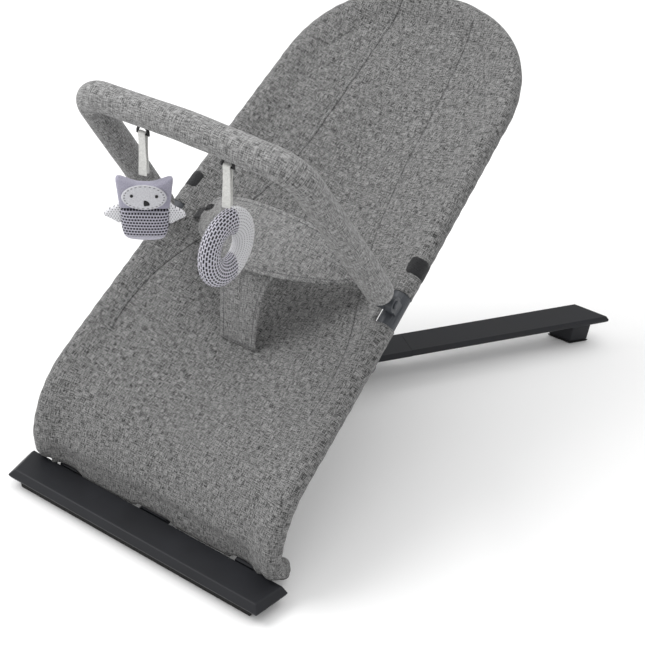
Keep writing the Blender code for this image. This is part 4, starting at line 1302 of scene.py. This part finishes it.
def build_tape(toy):
    """A doubled ribbon hanging from the straight side of the hook."""
    length = RIBBON[toy]
    origin = hook_axis(toy)
    radius = HOOK_WIRE + 0.0011
    half = 0.0056
    run = []
    for index in range(13):
        angle = math.pi * index / 12
        run.append((radius * math.cos(angle), radius * math.sin(angle)))
    for index in range(1, 15):
        run.append((-radius + 0.0012 * math.sin(math.pi * index / 14), -(length - radius) * index / 14))
    front = [(-y, z) for y, z in run[::-1]]
    loop = front[:14] + run
    points = []
    cloth = []
    length_so_far = 0.0
    for index, (depth, height) in enumerate(loop):
        if index:
            length_so_far += math.dist(loop[index], loop[index - 1])
        row = []
        marks = []
        for column in range(7):
            edge = column / 3 - 1
            curl = 0.0004 * edge * edge * smooth(0.0, -0.02, height)
            twist = TAPE_TURN * smooth(-0.012, -0.050, height)
            x = edge * half
            y = depth * (1 + 0.12 * math.sin(height * 90)) + math.copysign(curl, depth)
            row.append(origin + Vector((x * math.cos(twist) - y * math.sin(twist),
                                        x * math.sin(twist) + y * math.cos(twist), height)))
            marks.append((edge * half, length_so_far))
        points.append(row)
        cloth.append(marks)
    tape = grid(toy + "_tape", points, cloth, WHITE_TAPE)
    return apply_modifiers(subdivide(solidify(tape, 0.0007)))


padding = build_bar_padding()
place_on(padding, "toy_bar", "tweed_fabric", "toy_bar_cover")
for toy in ("owl", "ring"):
    place_on(build_tape(toy), toy + "_toy", "ribbon", toy + "_ribbon")


# ---------------------------------------------------------------- toys

def toy_frame(toy, drop):
    """An upright frame below the hook: X across, Y up, Z towards the foot end."""
    origin = hook_axis(toy) - Vector((0, 0, drop))
    return (Matrix.Translation(origin) @ Matrix.Rotation(TURN[toy], 4, "Z")
            @ Matrix.Rotation(math.pi / 2, 4, "X"))


def closed_curve(corners, count):
    """A smooth closed outline through the corner points."""
    points = []
    size = len(corners)
    for index in range(count):
        place = index / count * size
        base = int(place)
        knots = [Vector(corners[(base + k) % size]) for k in (-1, 0, 1, 2)]
        points.append(spline(*knots, place - base))
    return points


def mirrored(half):
    return half + [(-x, y) for x, y in reversed(half)]


def pillow(name, corners, thickness, material, place, count=72, rings=9, middle=None, sharp=0.55):
    """A stuffed flat shape: its outline is a seam, and both faces swell from it."""
    outline = closed_curve(corners, count)
    centre = Vector(middle) if middle else sum(outline, Vector((0, 0))) / count
    data = bmesh.new()
    layers = []
    for face in (1, -1):
        grids = []
        for ring in range(rings + 1):
            share = ring / rings
            if ring == rings and face == -1:
                grids.append(layers[0][-1])
                continue
            height = face * thickness / 2 * (1 - share ** 2.4) ** sharp
            row = []
            for index, point in enumerate(outline):
                spot = centre.lerp(point, math.sin(math.pi / 2 * share) if share < 1 else 1.0)
                pucker = 0.0
                if share > 0.6:
                    pucker = 0.00022 * math.sin(index * 2 * math.pi / 3.0) * (share - 0.6) / 0.4
                row.append(data.verts.new((spot.x, spot.y, height + pucker * face)))
            grids.append(row)
        layers.append(grids)
        for inner, outer in zip(grids, grids[1:]):
            for index in range(count):
                after = (index + 1) % count
                corners4 = (inner[index], inner[after], outer[after], outer[index])
                data.faces.new(corners4 if face == 1 else corners4[::-1])
    bmesh.ops.remove_doubles(data, verts=data.verts, dist=0.00002)
    bmesh.ops.recalc_face_normals(data, faces=data.faces)
    mesh = bpy.data.meshes.new(name)
    data.to_mesh(mesh)
    data.free()
    mesh.shade_smooth()
    return new_object(name, mesh, material, place)


def inflate(obj, voxel, pressure, cap):
    """Fills a cushion with cloth simulation, no point moving further than cap."""
    rest_modifier = obj.modifiers.new("even", "REMESH")
    rest_modifier.mode = "VOXEL"
    rest_modifier.voxel_size = voxel
    apply_modifiers(obj)
    rest = [vert.co.copy() for vert in obj.data.vertices]
    cloth = obj.modifiers.new("cloth", "CLOTH")
    cloth.settings.use_pressure = True
    cloth.settings.uniform_pressure_force = pressure
    cloth.settings.effector_weights.gravity = 0.0
    cloth.settings.quality = 5
    cloth.settings.mass = 0.05
    for number in range(1, 21):
        bpy.context.scene.frame_set(number)
    apply_modifiers(obj)
    bpy.context.scene.frame_set(1)
    for vert, start in zip(obj.data.vertices, rest):
        moved = vert.co - start
        if moved.length > cap:
            vert.co = start + moved.normalized() * cap
    subdivide(obj)
    apply_modifiers(obj)
    obj.data.shade_smooth()
    return obj


OWL_FRAME = toy_frame("owl", RIBBON["owl"] + 0.0035)
FACE_WIDE = 0.0275
FACE_TALL = 0.0172
FACE_Y = -0.0195
FELT = face_cloth(FACE_WIDE, FACE_TALL)
OWL_NECK = -0.0380


def domed_disc(name, half_width, half_height, thickness, material, place, count=48):
    turns = [2 * math.pi * index / 12 for index in range(12)]
    corners = [(half_width * math.cos(turn), half_height * math.sin(turn)) for turn in turns]
    return pillow(name, corners, thickness, material, place, count=count, rings=6, middle=(0, 0), sharp=0.35)


def build_owl():
    head = mirrored([(0.0100, -0.0038), (0.0230, 0.0004), (0.0326, 0.0036), (0.0350, 0.0004),
                     (0.0337, -0.0120), (0.0326, -0.0230), (0.0314, -0.0320), (0.0296, OWL_NECK),
                     (0.0140, OWL_NECK - 0.0006)])
    piece = pillow("owl_head_cushion", head, 0.0190, LAVENDER, OWL_FRAME, middle=(0, -0.018))
    place_on(inflate(piece, 0.0016, 1.0, 0.0012), "owl_toy", "lavender_fabric", "owl_head")
    body = mirrored([(0.0140, OWL_NECK - 0.0008), (0.0292, OWL_NECK - 0.0014), (0.0296, -0.0500),
                     (0.0286, -0.0660), (0.0242, -0.0782), (0.0120, -0.0822)])
    piece = pillow("owl_body_cushion", body, 0.0220, LAVENDER_MESH, OWL_FRAME, middle=(0, -0.060))
    place_on(inflate(piece, 0.0016, 1.0, 0.0012), "owl_toy", "lavender_fabric", "owl_body")
    wing = [(0.0290, -0.0305), (0.0350, -0.0362), (0.0440, -0.0412), (0.0498, -0.0468), (0.0490, -0.0502),
            (0.0410, -0.0545), (0.0300, -0.0600), (0.0275, -0.0450)]
    for name, side in SIDES:
        corners = [(side * x, y) for x, y in wing]
        piece = pillow("owl_wing_cushion_" + name, corners, 0.0088, DOTTED, OWL_FRAME, count=48, rings=7)
        place_on(piece, "owl_toy", "pale_fabric", "owl_wing_" + name)
    front = 0.0102
    face_place = OWL_FRAME @ Matrix.Translation((0, FACE_Y, front))
    face = domed_disc("owl_face_felt", FACE_WIDE, FACE_TALL, 0.0022, FELT, face_place)
    place_on(face, "owl_toy", "pale_fabric", "owl_face")
    for name, side in SIDES:
        spot = OWL_FRAME @ Matrix.Translation((side * 0.0151, -0.0172, front + 0.0012))
        eye = domed_disc("owl_eye_bead_" + name, 0.0020, 0.0020, 0.0022, BLACK, spot, count=24)
        place_on(eye, "owl_toy", "toggle_plastic", "owl_eye_" + name)
    beak = [(-0.0030, 0.0036), (0.0006, 0.0032), (0.0034, 0.0008), (0.0040, -0.0026), (0.0006, -0.0036),
            (-0.0030, -0.0036)]
    spot = OWL_FRAME @ Matrix.Translation((0.0026, -0.0270, front + 0.0008))
    piece = pillow("owl_beak_patch", beak, 0.0020, BLACK, spot, count=30, rings=5, middle=(0, 0),
                   sharp=0.35)
    place_on(piece, "owl_toy", "toggle_plastic", "owl_beak")


def build_ring():
    """A stuffed ring with a seam around its outside and its hole, pulled in where they pucker."""
    stations = 96
    around = 36

    def spot(index, step):
        angle = 2 * math.pi * index / stations
        turn = 2 * math.pi * step / around
        seam = bump(0.0, 0.16, math.remainder(turn, 2 * math.pi))
        seam += bump(0.0, 0.20, math.remainder(turn - math.pi, 2 * math.pi))
        pucker = 0.0005 * math.sin(angle * 31) * smooth(0.3, 0.9, abs(math.cos(turn)))
        plump = 0.0004 * noise.noise(Vector((math.cos(angle) * 3, math.sin(angle) * 3, turn)))
        minor = RING_MINOR - 0.0007 * seam + pucker * 0.6 + plump
        reach = RING_MAJOR + minor * math.cos(turn)
        height = minor * math.sin(turn) * RING_FLAT
        point = Vector((reach * math.cos(angle), reach * math.sin(angle), height))
        return point, (turn * RING_MINOR, angle * RING_MAJOR)

    ring = surface("ring_cushion", RING_MESH, stations, around, spot, closed=(True, True))
    ring.matrix_world = toy_frame("ring", RIBBON["ring"] + 0.0008 + RING_MAJOR + RING_MINOR)
    place_on(ring, "ring_toy", "lavender_fabric", "ring_plush")


build_owl()
build_ring()


# ---------------------------------------------------------------- carried-over frame nodes

FINISHES = (
    (("front_foot_pad", "rear_foot_pad_left", "rear_foot_pad_right"), RUBBER),
    (("hem_rod", "lower_tube_left", "lower_tube_right", "upper_tube", "stay_tube", "stay_pin_left",
      "stay_pin_right", "toy_bar_tube", "leg_bolt_left", "leg_bolt_right"), STEEL),
    (("toy_bar_clip_left", "toy_bar_clip_right", "toy_bar_pin_left", "toy_bar_pin_right", "toy_bar_end_left",
      "toy_bar_end_right", "stay_bracket_left", "stay_bracket_right", "recline_rack", "stay_lug_left",
      "stay_lug_right"), SLATE),
    (("owl_hook", "ring_hook", "harness_toggle_left", "harness_toggle_right", "stay_foot_sleeve"), BLACK),
)
finish_of = {name: look for names, look in FINISHES for name in names}
for name, node in nodes.items():
    if node.hide_render:
        continue
    look = finish_of.get(name, CHARCOAL)
    if not node.data.materials:
        node.data.materials.append(look)
    for slot in node.material_slots:
        slot.material = look


# ---------------------------------------------------------------- stage, light and camera

def backdrop():
    look = Look("studio_floor", Roughness=0.9, Specular_IOR_Level=0.1)
    tone = look.noise(look.local(), 2.0)
    colour = look.mix(tone, (0.90, 0.90, 0.90), (0.915, 0.915, 0.915))
    material = look.finish(colour)
    mesh = bpy.data.meshes.new("floor")
    reach = 14.0
    mesh.from_pydata([(-reach, -reach, 0), (reach, -reach, 0), (reach, reach, 0), (-reach, reach, 0)], [],
                     [(0, 1, 2, 3)])
    floor = new_object("floor", mesh, material)
    floor.location.z = -0.0004


def softbox(name, place, target, size, power):
    light = bpy.data.lights.new(name, "AREA")
    light.shape = "RECTANGLE"
    light.size = size[0]
    light.size_y = size[1]
    light.energy = power
    lamp = bpy.data.objects.new(name, light)
    bpy.context.scene.collection.objects.link(lamp)
    lamp.location = place
    lamp.rotation_euler = (Vector(target) - Vector(place)).to_track_quat("-Z", "Y").to_euler()


def set_light():
    scene = bpy.context.scene
    world = bpy.data.worlds.new("studio")
    scene.world = world
    world.use_nodes = True
    world.node_tree.nodes["Background"].inputs[0].default_value = (1, 1, 1, 1)
    world.node_tree.nodes["Background"].inputs[1].default_value = 0.80
    softbox("key", (-1.7, -1.2, 2.6), (0, 0, 0.2), (1.8, 1.8), 58)
    softbox("top", (0.2, 0.6, 3.0), (0, 0, 0.2), (2.6, 2.6), 30)
    scene.view_settings.view_transform = "Standard"
    scene.view_settings.look = "None"


def set_camera():
    azimuth = math.radians(31.964)
    elevation = math.radians(34.517)
    roll = math.radians(3.935)
    back = Vector((math.sin(azimuth) * math.cos(elevation), -math.cos(azimuth) * math.cos(elevation),
                   math.sin(elevation)))
    right = (-back).cross(Vector((0, 0, 1))).normalized()
    up = right.cross(-back)
    across = right * math.cos(roll) + up * math.sin(roll)
    upward = up * math.cos(roll) - right * math.sin(roll)
    matrix = Matrix((across, upward, back)).transposed().to_4x4()
    matrix.translation = Vector((0.863, -1.361, 1.248))
    data = bpy.data.cameras.new("camera")
    data.lens = 72.73
    data.sensor_width = 36.0
    data.clip_end = 60.0
    camera = bpy.data.objects.new("camera", data)
    bpy.context.scene.collection.objects.link(camera)
    camera.matrix_world = matrix
    bpy.context.scene.camera = camera


backdrop()
set_light()
set_camera()
